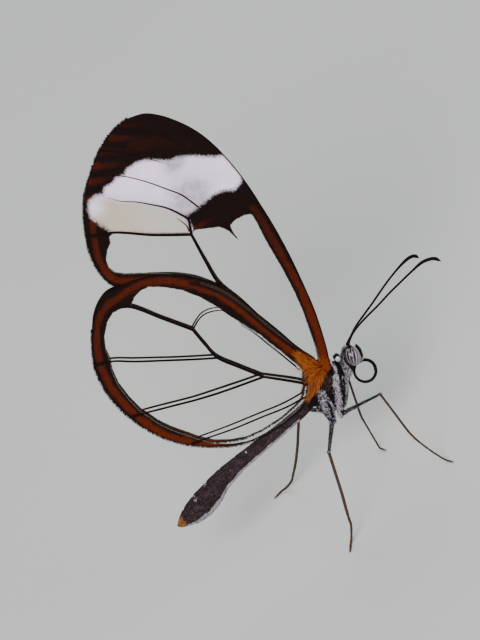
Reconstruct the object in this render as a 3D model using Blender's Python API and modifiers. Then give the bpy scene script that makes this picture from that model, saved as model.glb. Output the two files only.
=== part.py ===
"""Glasswing butterfly, life size, standing with its wings closed over its back.

The head points along +X, the left side faces +Y and the feet stand on z = 0.
Sizes below are in millimetres and become metres when a mesh is made.
"""
import math

import bmesh
import bpy
from mathutils import Matrix, Vector
from mathutils.geometry import delaunay_2d_cdt

MM = 0.001
NAME = "glasswing_butterfly"
GAP = 0.3

# Body forms: centre, half sizes and pitch in degrees
THORAX_CENTRE = (1.35, 0.0, 9.8)
THORAX_HALF = (2.5, 1.35, 2.15)
THORAX_PITCH = 32.0
HEAD_CENTRE = (4.25, 0.0, 11.45)
HEAD_HALF = (0.8, 0.8, 0.95)
EYE_CENTRE = (4.45, 0.55, 11.7)
EYE_HALF = (0.74, 0.75, 0.88)
EYE_PLANE = 0.6

# Abdomen: course from the waist to the tip, and the radius along it
ABDOMEN_COURSE = ((-0.2, 0.0, 10.3), (-2.8, 0.0, 10.1), (-5.8, 0.0, 10.1), (-8.4, 0.0, 9.85),
                  (-10.8, 0.0, 9.4), (-13.0, 0.0, 8.85), (-15.2, 0.0, 8.4))
ABDOMEN_RADII = (0.5, 0.52, 0.62, 0.78, 0.98, 1.05, 0.3)
ABDOMEN_SEGMENTS = 8
SEGMENT_GROOVE = 0.06

# Feelers, palps, coiled tongue and the small folded forelegs
FEELER_RADIUS = 0.25
CLUB_RADIUS = 0.33
TIP_RADIUS = 0.12
ANTENNA = {
    "right": ((4.6, -0.36, 12.0), (4.9, -0.42, 12.8), (6.1, -0.7, 13.7), (8.4, -1.0, 14.4),
              (11.5, -1.4, 15.1), (13.6, -1.75, 15.45), (14.9, -2.1, 14.85)),
    "left": ((4.6, 0.36, 12.0), (4.9, 0.42, 12.7), (6.2, 0.7, 13.15), (8.5, 1.0, 13.7),
             (11.5, 1.5, 14.55), (13.3, 1.8, 14.65), (14.2, 2.1, 13.9)),
}
PALP = ((4.6, 0.38, 11.0), (5.2, 0.42, 10.8), (5.62, 0.42, 11.2), (5.7, 0.42, 11.8), (5.55, 0.42, 12.3))
TONGUE_CENTRE = (5.1, 0.0, 9.35)
TONGUE_COIL = 0.76
TONGUE_START = 100.0
TONGUE_SWEEP = 300.0
FORELEG = ((2.3, 0.7, 9.6), (3.75, 1.0, 9.3), (3.7, 1.0, 8.2), (3.1, 0.9, 7.4))

# Walking legs: hip inside the thorax, knee, ankle, toe and the way the toe points
LEG_RADIUS = {"femur": 0.32, "tibia": 0.26, "tarsus": 0.25}
FOOT_LENGTH = 0.8
FOOT_HEIGHT = 0.19
LEGS = {
    "hindleg_right": {"hip": (0.3, -0.5, 8.3), "knee": (-2.1, -4.9, 8.2),
                      "ankle": (-3.65, -5.9, 3.4), "toe": (-5.6, -6.3), "heading": 190.0},
    "hindleg_left": {"hip": (0.3, 0.5, 8.1), "knee": (-1.4, 4.5, 7.7),
                     "ankle": (-4.3, 6.0, 2.4), "toe": (-7.3, 7.7), "heading": 170.0},
    "midleg_right": {"hip": (1.3, -0.5, 8.3), "knee": (4.35, -3.3, 8.75),
                     "ankle": (4.5, -3.9, 3.9), "toe": (6.2, -4.9), "heading": -20.0},
    "midleg_left": {"hip": (1.5, 0.5, 8.3), "knee": (3.6, 3.1, 8.65),
                    "ankle": (2.5, 3.0, 4.3), "toe": (2.9, 3.2), "heading": 20.0},
}

# Wings, drawn in the plane of symmetry as (x, z)
MEMBRANE = 0.5
VEIN_RISE = 0.12
VEIN_HALF_WIDTH = 0.28
WING_FACE = 0.15
OVERLAP_FACE = 1.1
OVERLAP_WIDTH = 1.9
BEND_WIDTH = 3.2
MARGIN_STEP = 1.5
VEIN_STEP = 2.2
FILL_STEP = 2.6

FOREWING_COSTA = ((1.9, 10.8), (2.5, 12.3), (3.3, 14.6), (4.4, 18.9), (5.0, 23.4), (5.35, 28.5),
                  (5.2, 32.6), (4.5, 36.7), (2.9, 40.0))
FOREWING_TIP = ((0.4, 41.6), (-2.4, 41.15), (-4.9, 39.5), (-6.9, 37.3), (-8.2, 34.2), (-8.5, 31.4))
FOREWING_HIND = ((-8.0, 29.6), (-5.6, 28.6), (-3.6, 26.6), (-2.2, 23.6), (-1.0, 19.6),
                 (0.0, 16.0), (0.7, 12.9), (0.9, 10.8))
FOREWING_VEINS = (
    ((2.0, 12.6), (3.0, 17.0), (3.7, 22.0), (3.9, 27.0), (3.6, 30.6), (4.0, 34.0), (2.6, 38.0), (1.6, 41.2)),
    ((3.8, 29.2), (2.0, 29.6), (-0.71, 29.87), (-1.22, 25.05), (-0.6, 20.6), (0.5, 16.0), (1.3, 12.6)),
    ((-0.71, 29.87), (-3.4, 32.1), (-6.04, 34.49), (-7.9, 35.0)),
    ((-0.5, 30.2), (-0.45, 31.6), (-2.27, 34.34), (-3.69, 36.13), (-5.6, 38.8)),
    ((3.7, 31.4), (0.6, 35.0), (-1.6, 38.0), (-2.9, 40.9)),
    ((-1.22, 25.05), (-4.2, 27.9), (-7.9, 31.0), (-8.45, 31.6)),
)

HINDWING_COSTA = ((0.9, 11.0), (1.7, 13.2), (1.4, 15.1), (0.5, 19.1), (-0.6, 22.9), (-2.0, 26.0),
                  (-3.95, 28.25), (-6.2, 29.75), (-8.3, 30.1))
HINDWING_TIP = ((-10.4, 29.6), (-12.1, 28.0), (-13.4, 25.6), (-13.95, 22.9), (-13.75, 20.3),
                (-12.85, 17.3), (-11.1, 14.4), (-8.9, 12.2))
HINDWING_HIND = ((-6.3, 10.6), (-3.0, 10.2), (-1.0, 10.4))
HINDWING_VEINS = (
    ((0.6, 12.2), (0.3, 15.0), (-0.6, 18.6), (-1.8, 22.2), (-3.6, 25.6), (-6.0, 27.9), (-8.39, 28.6)),
    ((-0.13, 11.96), (-1.2, 13.2), (-2.65, 14.99), (-4.78, 19.11), (-5.11, 22.75), (-8.39, 27.92)),
    ((-5.11, 22.75), (-3.9, 23.3), (-2.0, 22.9)),
    ((-4.78, 19.11), (-8.4, 22.1), (-12.2, 24.75), (-13.8, 25.0)),
    ((-2.65, 14.99), (-7.6, 17.1), (-12.54, 18.9), (-13.4, 18.9)),
    ((-1.01, 11.8), (-5.4, 12.2), (-9.92, 13.76)),
)

# Colour, roughness and metallic value of each material
FINISHES = {
    "dark_scales": ((0.035, 0.026, 0.024), 0.8, 0.0),
    "glass_membrane": ((0.62, 0.6, 0.5), 0.25, 0.0),
    "eye_facets": ((0.42, 0.38, 0.38), 0.3, 0.0),
    "leg_cuticle": ((0.16, 0.1, 0.06), 0.55, 0.0),
}


def material(name):
    """One Principled material with the named finish."""
    made = bpy.data.materials.get(name)
    if made is None:
        colour, roughness, metallic = FINISHES[name]
        made = bpy.data.materials.new(name)
        made.use_nodes = True
        shader = made.node_tree.nodes["Principled BSDF"]
        shader.inputs["Base Color"].default_value = (*colour, 1.0)
        shader.inputs["Roughness"].default_value = roughness
        shader.inputs["Metallic"].default_value = metallic
        made.diffuse_color = (*colour, 1.0)
    return made


def add_object(name, mesh, finish, group):
    """An object for one sub-part, smooth shaded and carried by the stance."""
    mesh.materials.clear()
    mesh.materials.append(material(finish))
    mesh.shade_smooth()
    mesh.set_sharp_from_angle(angle=math.radians(40.0))
    obj = bpy.data.objects.new(name, mesh)
    group.objects.link(obj)
    return obj


def along(points, samples):
    """Points on a smooth Catmull-Rom curve through the given ones."""
    ends = [2 * Vector(points[0]) - Vector(points[1])]
    knots = ends + [Vector(p) for p in points] + [2 * Vector(points[-1]) - Vector(points[-2])]
    found = []
    for i in range(len(points) - 1):
        a, b, c, d = knots[i:i + 4]
        for k in range(samples):
            t = k / samples
            found.append(0.5 * (2 * b + (c - a) * t + (2 * a - 5 * b + 4 * c - d) * t ** 2
                                + (3 * b - a - 3 * c + d) * t ** 3))
    return found + [Vector(points[-1])]


def spaced(points, step):
    """The smooth curve through the points, cut into equal steps of about the given length."""
    fine = along(points, 24)
    reach = [0.0]
    for a, b in zip(fine, fine[1:]):
        reach.append(reach[-1] + (b - a).length)
    count = max(2, round(reach[-1] / step))
    found, i = [], 0
    for k in range(count + 1):
        target = reach[-1] * k / count
        while i < len(fine) - 2 and reach[i + 1] < target:
            i += 1
        share = (target - reach[i]) / max(reach[i + 1] - reach[i], 1e-9)
        found.append(fine[i].lerp(fine[i + 1], min(max(share, 0.0), 1.0)))
    return found


def ellipsoid_mesh(name, centre, half, pitch=0.0, grow=0.0, sides=24, rings=14):
    """A sphere primitive drawn out to three half sizes, each made larger by grow."""
    bm = bmesh.new()
    bmesh.ops.create_uvsphere(bm, u_segments=sides, v_segments=rings, radius=1.0)
    size = Matrix.Diagonal([(h + grow) * MM for h in half] + [1.0])
    turn = Matrix.Rotation(-math.radians(pitch), 4, "Y")
    bm.transform(Matrix.Translation(Vector(centre) * MM) @ turn @ size)
    mesh = bpy.data.meshes.new(name)
    bm.to_mesh(mesh)
    bm.free()
    return mesh


def tube_mesh(name, points, radii, resolution=2, grow=0.0):
    """A round tube along the points, made as a bevelled curve with closed ends."""
    curve = bpy.data.curves.new(name, "CURVE")
    curve.dimensions = "3D"
    curve.bevel_depth = MM
    curve.bevel_resolution = resolution
    curve.use_fill_caps = True
    curve.twist_mode = "MINIMUM"
    spline = curve.splines.new("POLY")
    spline.points.add(len(points) - 1)
    for knot, place, radius in zip(spline.points, points, radii):
        knot.co = (*(Vector(place) * MM), 1.0)
        knot.radius = radius + grow
    holder = bpy.data.objects.new(name, curve)
    bpy.context.scene.collection.objects.link(holder)
    seen = holder.evaluated_get(bpy.context.evaluated_depsgraph_get())
    mesh = bpy.data.meshes.new_from_object(seen)
    bpy.data.objects.remove(holder)
    bpy.data.curves.remove(curve)
    bm = bmesh.new()
    bm.from_mesh(mesh)
    bmesh.ops.remove_doubles(bm, verts=bm.verts, dist=0.01 * MM)
    bmesh.ops.recalc_face_normals(bm, faces=bm.faces)
    bm.to_mesh(mesh)
    bm.free()
    return mesh


def slice_off(mesh, point, outward):
    """Cut away what lies past a plane and close the cut with a flat face."""
    bm = bmesh.new()
    bm.from_mesh(mesh)
    whole = bm.verts[:] + bm.edges[:] + bm.faces[:]
    cut = bmesh.ops.bisect_plane(bm, geom=whole, plane_co=Vector(point) * MM, dist=1e-9,
                                 plane_no=Vector(outward), clear_outer=True)
    rim = [e for e in cut["geom_cut"] if isinstance(e, bmesh.types.BMEdge)]
    bmesh.ops.holes_fill(bm, edges=rim)
    bmesh.ops.recalc_face_normals(bm, faces=bm.faces)
    bm.to_mesh(mesh)
    bm.free()


def cutter(name, mesh, group):
    """A hidden solid that keeps its neighbours clear by the gap."""
    obj = bpy.data.objects.new(name, mesh)
    obj.hide_render = True
    obj.display_type = "WIRE"
    group.objects.link(obj)
    return obj


def trim(obj, cutters):
    """Keep an object clear of each cutter."""
    for tool in cutters:
        cut = obj.modifiers.new("clear_of_" + tool.name, "BOOLEAN")
        cut.operation = "DIFFERENCE"
        cut.object = tool


def mirrored(point, side):
    """A point on the left given for the named side."""
    return (point[0], point[1] * side, point[2])


def make_body(parts, cutters):
    """Thorax, head, eyes and abdomen, with the solids that keep the rest clear of them."""
    thorax_room = cutter("room_thorax", ellipsoid_mesh(
        "room_thorax", THORAX_CENTRE, THORAX_HALF, THORAX_PITCH, GAP), cutters)
    head_room = cutter("room_head", ellipsoid_mesh(
        "room_head", HEAD_CENTRE, HEAD_HALF, grow=GAP), cutters)
    add_object("thorax", ellipsoid_mesh("thorax", THORAX_CENTRE, THORAX_HALF, THORAX_PITCH),
               "dark_scales", parts)

    head = ellipsoid_mesh("head", HEAD_CENTRE, HEAD_HALF)
    eye_rooms = []
    for side, sign in (("right", -1.0), ("left", 1.0)):
        centre = mirrored(EYE_CENTRE, sign)
        eye = ellipsoid_mesh("eye_" + side, centre, EYE_HALF, sides=20, rings=12)
        slice_off(eye, (0.0, sign * EYE_PLANE, 0.0), (0.0, -sign, 0.0))
        add_object("eye_" + side, eye, "eye_facets", parts)
        room = ellipsoid_mesh("room_eye_" + side, centre, EYE_HALF, grow=GAP)
        slice_off(room, (0.0, sign * (EYE_PLANE - GAP), 0.0), (0.0, -sign, 0.0))
        eye_rooms.append(cutter("room_eye_" + side, room, cutters))
    trim(add_object("head", head, "dark_scales", parts), [thorax_room] + eye_rooms)

    course = along(ABDOMEN_COURSE, 5)
    wide = [v.x for v in along([(r, 0.0, 0.0) for r in ABDOMEN_RADII], 5)]
    rings = [r - SEGMENT_GROOVE * (k % (len(wide) // ABDOMEN_SEGMENTS) == 0)
             for k, r in enumerate(wide)]
    abdomen = add_object("abdomen", tube_mesh("abdomen", course, rings, 4), "dark_scales", parts)
    trim(abdomen, [thorax_room])
    abdomen_room = cutter("room_abdomen", tube_mesh("room_abdomen", course, wide, 4, GAP), cutters)
    return {"thorax": thorax_room, "head": head_room, "abdomen": abdomen_room,
            "eye_right": eye_rooms[0], "eye_left": eye_rooms[1]}


def make_head_limbs(parts, rooms):
    """Antennae, palps, coiled tongue and the pair of small forelegs."""
    for side, sign in (("right", -1.0), ("left", 1.0)):
        course = along(ANTENNA[side], 4)
        club = len(course) // 4
        radii = [FEELER_RADIUS] * (len(course) - club)
        radii += [CLUB_RADIUS] * (club - 1) + [TIP_RADIUS]
        antenna = add_object("antenna_" + side, tube_mesh("antenna", course, radii),
                             "dark_scales", parts)
        trim(antenna, [rooms["head"], rooms["eye_" + side]])

        course = along([mirrored(p, sign) for p in PALP], 3)
        radii = [FEELER_RADIUS] * (len(course) - 2) + [0.7 * FEELER_RADIUS, TIP_RADIUS]
        palp = add_object("palp_" + side, tube_mesh("palp", course, radii), "dark_scales", parts)
        trim(palp, [rooms["head"], rooms["eye_" + side]])

        course = along([mirrored(p, sign) for p in FORELEG], 3)
        radii = [FEELER_RADIUS] * (len(course) - 1) + [TIP_RADIUS]
        foreleg = add_object("foreleg_" + side, tube_mesh("foreleg", course, radii),
                             "leg_cuticle", parts)
        trim(foreleg, [rooms["thorax"]])

    coil = []
    for k in range(25):
        angle = math.radians(TONGUE_START - TONGUE_SWEEP * k / 24)
        coil.append((TONGUE_CENTRE[0] + TONGUE_COIL * math.cos(angle), 0.0,
                     TONGUE_CENTRE[2] + TONGUE_COIL * math.sin(angle)))
    tongue = add_object("proboscis", tube_mesh("proboscis", coil, [FEELER_RADIUS] * 24 + [TIP_RADIUS]),
                        "leg_cuticle", parts)
    trim(tongue, [rooms["head"]])


def make_leg(name, leg, parts, rooms):
    """Femur, tibia and tarsus, mitred to each other at knee and ankle with the gap between."""
    heading = math.radians(leg["heading"])
    toe = Vector((*leg["toe"], FOOT_HEIGHT))
    heel = toe - FOOT_LENGTH * Vector((math.cos(heading), math.sin(heading), 0.0))
    hip, knee, ankle = (Vector(leg[key]) for key in ("hip", "knee", "ankle"))
    lengths = {"femur": [hip, knee], "tibia": [knee, ankle], "tarsus": [ankle, heel, toe]}
    overrun = 2.0 * LEG_RADIUS["femur"]
    for piece, points in lengths.items():
        first = (points[1] - points[0]).normalized()
        last = (points[-1] - points[-2]).normalized()
        drawn = [p.copy() for p in points]
        if piece != "femur":
            drawn[0] -= overrun * first
        if piece != "tarsus":
            drawn[-1] += overrun * last
        radius = LEG_RADIUS[piece]
        mesh = tube_mesh(piece, drawn, [radius] * len(drawn))
        if piece != "femur":
            before = {"tibia": knee - hip, "tarsus": ankle - knee}[piece].normalized()
            plane = (before + first).normalized()
            slice_off(mesh, points[0] + 0.5 * GAP * plane, -plane)
        if piece != "tarsus":
            after = {"femur": ankle - knee, "tibia": heel - ankle}[piece].normalized()
            plane = (last + after).normalized()
            slice_off(mesh, points[-1] - 0.5 * GAP * plane, plane)
        if piece == "tarsus":
            slice_off(mesh, (0.0, 0.0, 0.0), (0.0, 0.0, -1.0))
        made = add_object(name + "_" + piece, mesh, "leg_cuticle", parts)
        if piece == "femur":
            trim(made, [rooms["thorax"]])


def distance_to(point, lines):
    """Distance from a point to the nearest of several open lines."""
    best = 1e9
    for line in lines:
        for a, b in zip(line, line[1:]):
            span = b - a
            share = min(max((point - a).dot(span) / max(span.length_squared, 1e-12), 0.0), 1.0)
            best = min(best, (point - a - share * span).length)
    return best


def beside(line, offset):
    """The same line moved sideways."""
    found = []
    for k, point in enumerate(line):
        way = (line[min(k + 1, len(line) - 1)] - line[max(k - 1, 0)]).normalized()
        found.append(point + offset * Vector((-way.y, way.x)))
    return found


def wing_sheet(name, margins, veins, costa, inner_face):
    """The wing's inner face, split into triangles along its margin and veins.

    The vertex group holds the wing's thickness there, more on a vein and on the leading edge.
    """
    outline = []
    for line in margins:
        outline += spaced(line, MARGIN_STEP)[:-1]
    ridges = [spaced(line, VEIN_STEP) for line in veins] + [spaced(costa, MARGIN_STEP)]
    points, edges = list(outline), []
    for line in ridges[:-1]:
        for track in (line, beside(line, VEIN_HALF_WIDTH), beside(line, -VEIN_HALF_WIDTH)):
            start = len(points)
            points += track
            edges += [(k, k + 1) for k in range(start, len(points) - 1)]
    inner_costa = beside(ridges[-1], VEIN_HALF_WIDTH)[1:]
    start = len(points)
    points += inner_costa
    edges += [(k, k + 1) for k in range(start, len(points) - 1)]
    low = Vector((min(p.x for p in outline), min(p.y for p in outline)))
    high = Vector((max(p.x for p in outline), max(p.y for p in outline)))
    closed = outline + outline[:1]
    for i in range(int((high.x - low.x) / FILL_STEP) + 1):
        for k in range(int((high.y - low.y) / FILL_STEP) + 1):
            spot = low + FILL_STEP * Vector((i + 0.5 * (k % 2), k))
            if distance_to(spot, ridges + [closed]) > 3 * VEIN_HALF_WIDTH:
                points.append(spot)
    face = [list(range(len(outline)))]
    verts, _, faces, _, _, _ = delaunay_2d_cdt(points, edges, face, 1, 0.05)

    mesh = bpy.data.meshes.new(name)
    places = [Vector((v.x, inner_face(v), v.y)) * MM for v in verts]
    mesh.from_pydata(places, [], [tuple(f) for f in faces])
    thick = [MEMBRANE + VEIN_RISE * max(0.0, 1.0 - distance_to(v, ridges) / VEIN_HALF_WIDTH)
             for v in verts]
    return mesh, thick


def make_wing(name, sign, sheet, thick, cutters, parts):
    """A wing as a sheet thickened outwards, its veins raised in its own outer face."""
    mesh = sheet.copy()
    mesh.name = name
    bm = bmesh.new()
    bm.from_mesh(mesh)
    bm.transform(Matrix.Diagonal((1.0, sign, 1.0, 1.0)))
    for face in bm.faces:
        if face.normal.y * sign < 0.0:
            face.normal_flip()
    bm.normal_update()
    bm.to_mesh(mesh)
    bm.free()
    obj = add_object(name, mesh, "glass_membrane", parts)
    most = MEMBRANE + VEIN_RISE
    weights = obj.vertex_groups.new(name="thickness")
    for index, depth in enumerate(thick):
        weights.add([index], depth / most, "REPLACE")
    shell = obj.modifiers.new("membrane_and_veins", "SOLIDIFY")
    shell.thickness = most * MM
    shell.offset = 1.0
    shell.vertex_group = weights.name
    shell.use_even_offset = False
    trim(obj, cutters)
    return obj


def make_wings(parts, rooms):
    """The two forewings inside, and the two hindwings that lap over their hind edges."""
    sheet, thick = wing_sheet("forewing", (FOREWING_COSTA + FOREWING_TIP[:1], FOREWING_TIP +
                              FOREWING_HIND[:1], FOREWING_HIND, (FOREWING_HIND[-1], FOREWING_COSTA[0])),
                              FOREWING_VEINS, FOREWING_COSTA + FOREWING_TIP[:1],
                              lambda p: WING_FACE)
    for side, sign in (("right", -1.0), ("left", 1.0)):
        make_wing("forewing_" + side, sign, sheet, thick, [rooms["thorax"]], parts)

    edge = [spaced(HINDWING_COSTA, MARGIN_STEP)]

    def bent(point):
        share = (distance_to(point, edge) - OVERLAP_WIDTH) / BEND_WIDTH
        share = min(max(share, 0.0), 1.0)
        ease = share * share * (3.0 - 2.0 * share)
        return OVERLAP_FACE + (WING_FACE - OVERLAP_FACE) * ease

    sheet, thick = wing_sheet("hindwing", (HINDWING_COSTA + HINDWING_TIP[:1], HINDWING_TIP +
                              HINDWING_HIND[:1], HINDWING_HIND, (HINDWING_HIND[-1], HINDWING_COSTA[0])),
                              HINDWING_VEINS, HINDWING_COSTA + HINDWING_TIP[:1], bent)
    for side, sign in (("right", -1.0), ("left", 1.0)):
        make_wing("hindwing_" + side, sign, sheet, thick,
                  [rooms["thorax"], rooms["abdomen"]], parts)


def stand_on_origin(parts):
    """Carry every part by one empty, so that the box's middle stands on the origin."""
    bpy.context.view_layer.update()
    seen = bpy.context.evaluated_depsgraph_get()
    corners = [Vector(corner) for obj in parts.objects for corner in obj.evaluated_get(seen).bound_box]
    stance = bpy.data.objects.new("stance", None)
    parts.objects.link(stance)
    stance.location.x = -0.5 * (min(c.x for c in corners) + max(c.x for c in corners))
    stance.location.y = -0.5 * (min(c.y for c in corners) + max(c.y for c in corners))
    return stance


def main():
    for old in list(bpy.data.objects):
        bpy.data.objects.remove(old)
    parts = bpy.data.collections.new(NAME)
    cutters = bpy.data.collections.new("cutters")
    bpy.context.scene.collection.children.link(parts)
    bpy.context.scene.collection.children.link(cutters)
    rooms = make_body(parts, cutters)
    make_head_limbs(parts, rooms)
    for name, leg in LEGS.items():
        make_leg(name, leg, parts, rooms)
    make_wings(parts, rooms)
    stance = stand_on_origin(parts)
    for obj in list(parts.objects) + list(cutters.objects):
        if obj is not stance:
            obj.parent = stance


main()
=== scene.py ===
"""The looks of a glasswing butterfly that stands with its wings closed over its back.

Tables and sizes are in millimetres in the frame in which the solids are drawn: x forwards to
the head, y to the left, z up, the feet on z = 0 and the middle plane of the body on y = 0.
Wings and body markings are drawn in side view as (x, z). A point becomes metres in the row's
frame when its mesh is made.
"""
import math

import bpy
import numpy as np
from mathutils import Matrix, Vector


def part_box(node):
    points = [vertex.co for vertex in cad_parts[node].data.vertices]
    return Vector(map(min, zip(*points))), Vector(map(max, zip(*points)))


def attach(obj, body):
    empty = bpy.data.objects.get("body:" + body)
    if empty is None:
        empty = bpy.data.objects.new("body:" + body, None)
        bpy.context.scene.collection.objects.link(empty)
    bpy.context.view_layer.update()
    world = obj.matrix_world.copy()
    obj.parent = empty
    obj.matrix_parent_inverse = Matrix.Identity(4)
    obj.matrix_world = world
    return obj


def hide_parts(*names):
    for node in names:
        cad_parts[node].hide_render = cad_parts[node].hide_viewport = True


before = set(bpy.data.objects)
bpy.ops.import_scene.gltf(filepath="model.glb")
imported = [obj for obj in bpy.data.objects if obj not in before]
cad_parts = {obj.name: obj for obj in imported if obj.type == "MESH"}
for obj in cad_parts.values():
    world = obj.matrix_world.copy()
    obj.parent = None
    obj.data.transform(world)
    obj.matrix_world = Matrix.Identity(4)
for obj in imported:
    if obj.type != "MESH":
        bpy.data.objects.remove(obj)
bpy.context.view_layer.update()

bl_info = {
    "name": "Glasswing butterfly",
    "version": (1, 0, 0),
    "blender": (4, 5, 0),
    "location": "3D View > Sidebar > Glasswing",
    "description": "Builds the looks of a life-size glasswing butterfly on its packed solids",
    "category": "Object",
}

MM = 0.001
# The thorax's middle in the drawing frame, and the shift from this frame to the row's
THORAX_MIDDLE = np.array((1.35, 0.0, 9.8))
STANCE = np.mean([np.array(corner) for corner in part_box("thorax")], axis=0) / MM - THORAX_MIDDLE
RANDOM_SEED = 7
SIDES = (("right", -1.0), ("left", 1.0))
# A distance that lies outside every marking
OUTSIDE = -9.0
# Rows and columns of the grids
GRIDS = {"body": (620, 96), "forewing": (330, 140), "hindwing": (270, 170), "eye": (90, 140),
         "lobe": (24, 32), "dot": (14, 20), "hip": (50, 24)}

# Camera: where the photograph looks from, and the pixel that shows the foot of the thorax
IMAGE_WIDTH, IMAGE_HEIGHT = 480, 640
CAMERA_AZIMUTH, CAMERA_ELEVATION, CAMERA_ROLL = -4.0, 29.0, 35.0
CAMERA_DISTANCE = 300.0
MM_PER_PIXEL = 0.08477
AIM_POINT = np.array((0.0, 0.0, 7.0))
AIM_PIXEL = (335.0, 425.0)
SENSOR = 36.0
CLIPPING = (0.01, 10.0)

# Studio in metres: half the floor's width, the surroundings, and place, width, power and tint of each light
FLOOR_HALF = 6.0
SKY_COLOUR, SKY_STRENGTH = (0.93, 0.97, 1.0, 1.0), 0.42
LIGHT_TARGET = (0.0, 0.0, 0.02)
LIGHTS = {
    "key": ((-0.16, -0.42, 0.34), 0.24, 4.4, (1.0, 0.98, 0.95)),
    "fill": ((0.35, -0.25, 0.2), 0.3, 0.7, (0.95, 0.98, 1.0)),
    "back": ((0.1, 0.4, 0.35), 0.3, 1.2, (1.0, 1.0, 1.0)),
}

# Wing outlines in side view: leading edge from root to tip, then the rear edge from root to tip
FOREWING_LEAD = (
    (2.42, 11.98), (2.68, 12.61), (3.32, 14.6), (3.94, 17.0), (4.32, 19.0), (4.9, 23.2), (5.27, 28.2),
    (5.27, 31.9), (4.82, 35.5), (3.9, 38.2), (2.35, 40.6), (1.3, 41.38), (0.42, 41.7))
FOREWING_REAR = (
    (1.3, 12.0), (1.0, 13.2), (0.0, 16.0), (-1.0, 19.6), (-2.2, 23.4), (-3.5, 26.2), (-5.3, 28.3),
    (-7.2, 29.3), (-8.15, 30.1), (-8.6, 31.7), (-8.42, 33.9), (-7.4, 36.4), (-6.1, 38.45), (-4.9, 39.5),
    (-3.5, 40.6), (-2.1, 41.32), (-0.9, 41.68), (0.36, 41.72))
HINDWING_LEAD = (
    (1.9, 12.15), (1.9, 12.9), (1.55, 14.0), (1.12, 15.36), (0.85, 16.6), (0.57, 17.83), (0.27, 19.02),
    (-0.03, 20.18), (-0.29, 21.38), (-0.6, 22.6), (-0.95, 23.8), (-1.45, 24.9), (-2.35, 26.4), (-3.4, 27.6),
    (-4.6, 28.65), (-5.8, 29.35), (-7.1, 29.85), (-8.4, 30.2), (-9.3, 30.35), (-10.2, 30.05),
    (-11.15, 29.35), (-11.95, 28.35))
HINDWING_REAR = (
    (-0.35, 11.05), (-1.4, 10.68), (-3.4, 10.52), (-5.3, 10.7), (-6.8, 11.05), (-8.1, 11.7), (-9.4, 12.7),
    (-10.7, 13.95), (-11.6, 15.1), (-12.4, 16.4), (-13.08, 17.95), (-13.55, 19.5), (-13.85, 21.1),
    (-13.93, 22.5), (-13.85, 23.85), (-13.58, 25.2), (-13.1, 26.4), (-12.0, 28.3))

# Clear windows and the milky band, as closed outlines
FOREWING_WINDOW = (
    (1.98, 13.12), (2.34, 14.15), (2.78, 16.14), (3.24, 18.1), (3.56, 20.08), (3.8, 22.5), (3.98, 25.3),
    (4.22, 27.2), (4.25, 28.1), (3.8, 28.4), (2.91, 28.6), (2.28, 28.5), (2.16, 28.0), (2.09, 27.2),
    (1.88, 28.3), (1.45, 29.0), (0.56, 29.55), (-0.33, 30.1), (-0.76, 29.95), (-2.2, 31.1), (-3.55, 32.25),
    (-5.0, 33.6), (-5.85, 34.3), (-6.36, 34.25), (-6.54, 33.77), (-7.1, 33.38), (-7.64, 32.78),
    (-7.83, 32.02), (-7.66, 31.35), (-7.11, 30.73), (-5.66, 29.6), (-4.3, 28.5), (-3.07, 27.2),
    (-1.96, 25.6), (-1.1, 23.0), (-0.3, 19.8), (0.6, 16.2), (1.2, 13.2))
FOREWING_MILK = (
    (5.24, 31.4), (5.2, 32.6), (5.02, 33.9), (4.37, 34.34), (3.58, 35.0), (2.79, 35.7), (1.91, 36.3),
    (1.2, 36.45), (0.41, 37.1), (-0.37, 37.8), (-1.12, 38.1), (-2.0, 38.15), (-2.4, 37.85), (-3.1, 38.1),
    (-3.6, 37.9), (-4.3, 38.0), (-4.75, 37.6), (-5.3, 37.95), (-5.9, 37.97), (-6.4, 37.4), (-6.62, 36.6),
    (-6.45, 36.0), (-6.15, 35.2), (-5.9, 34.4), (-5.0, 33.6), (-3.55, 32.25), (-2.2, 31.1), (-0.76, 29.95),
    (-0.45, 30.4), (-0.38, 31.0), (-0.3, 31.7), (0.27, 31.6), (0.9, 31.6), (1.7, 31.65), (2.49, 31.68),
    (3.12, 31.6), (3.6, 31.35), (4.19, 30.9), (4.9, 31.0))
HINDWING_WINDOW = (
    (-8.37, 28.05), (-8.89, 28.46), (-9.75, 28.6), (-10.57, 28.2), (-11.43, 27.3), (-12.0, 26.2),
    (-12.2, 25.2), (-12.6, 24.2), (-12.87, 22.83), (-12.83, 21.13), (-12.62, 19.5), (-12.3, 18.6),
    (-12.05, 17.7), (-11.43, 16.36), (-10.5, 14.8), (-10.1, 14.1), (-9.2, 12.85), (-7.95, 11.8),
    (-6.75, 11.12), (-5.3, 10.74), (-3.4, 10.56), (-1.7, 10.7), (-0.85, 11.05), (-0.43, 11.44),
    (-0.1, 11.84), (0.18, 12.36), (0.39, 13.13), (0.33, 13.88), (0.03, 15.09), (-0.25, 16.33),
    (-0.58, 17.48), (-0.86, 18.7), (-1.25, 19.72), (-1.62, 20.78), (-2.06, 21.9), (-2.45, 23.2),
    (-3.08, 24.8), (-3.99, 26.4), (-5.12, 27.7), (-6.07, 28.5), (-6.8, 28.68), (-7.5, 28.55), (-8.2, 28.1))

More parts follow.
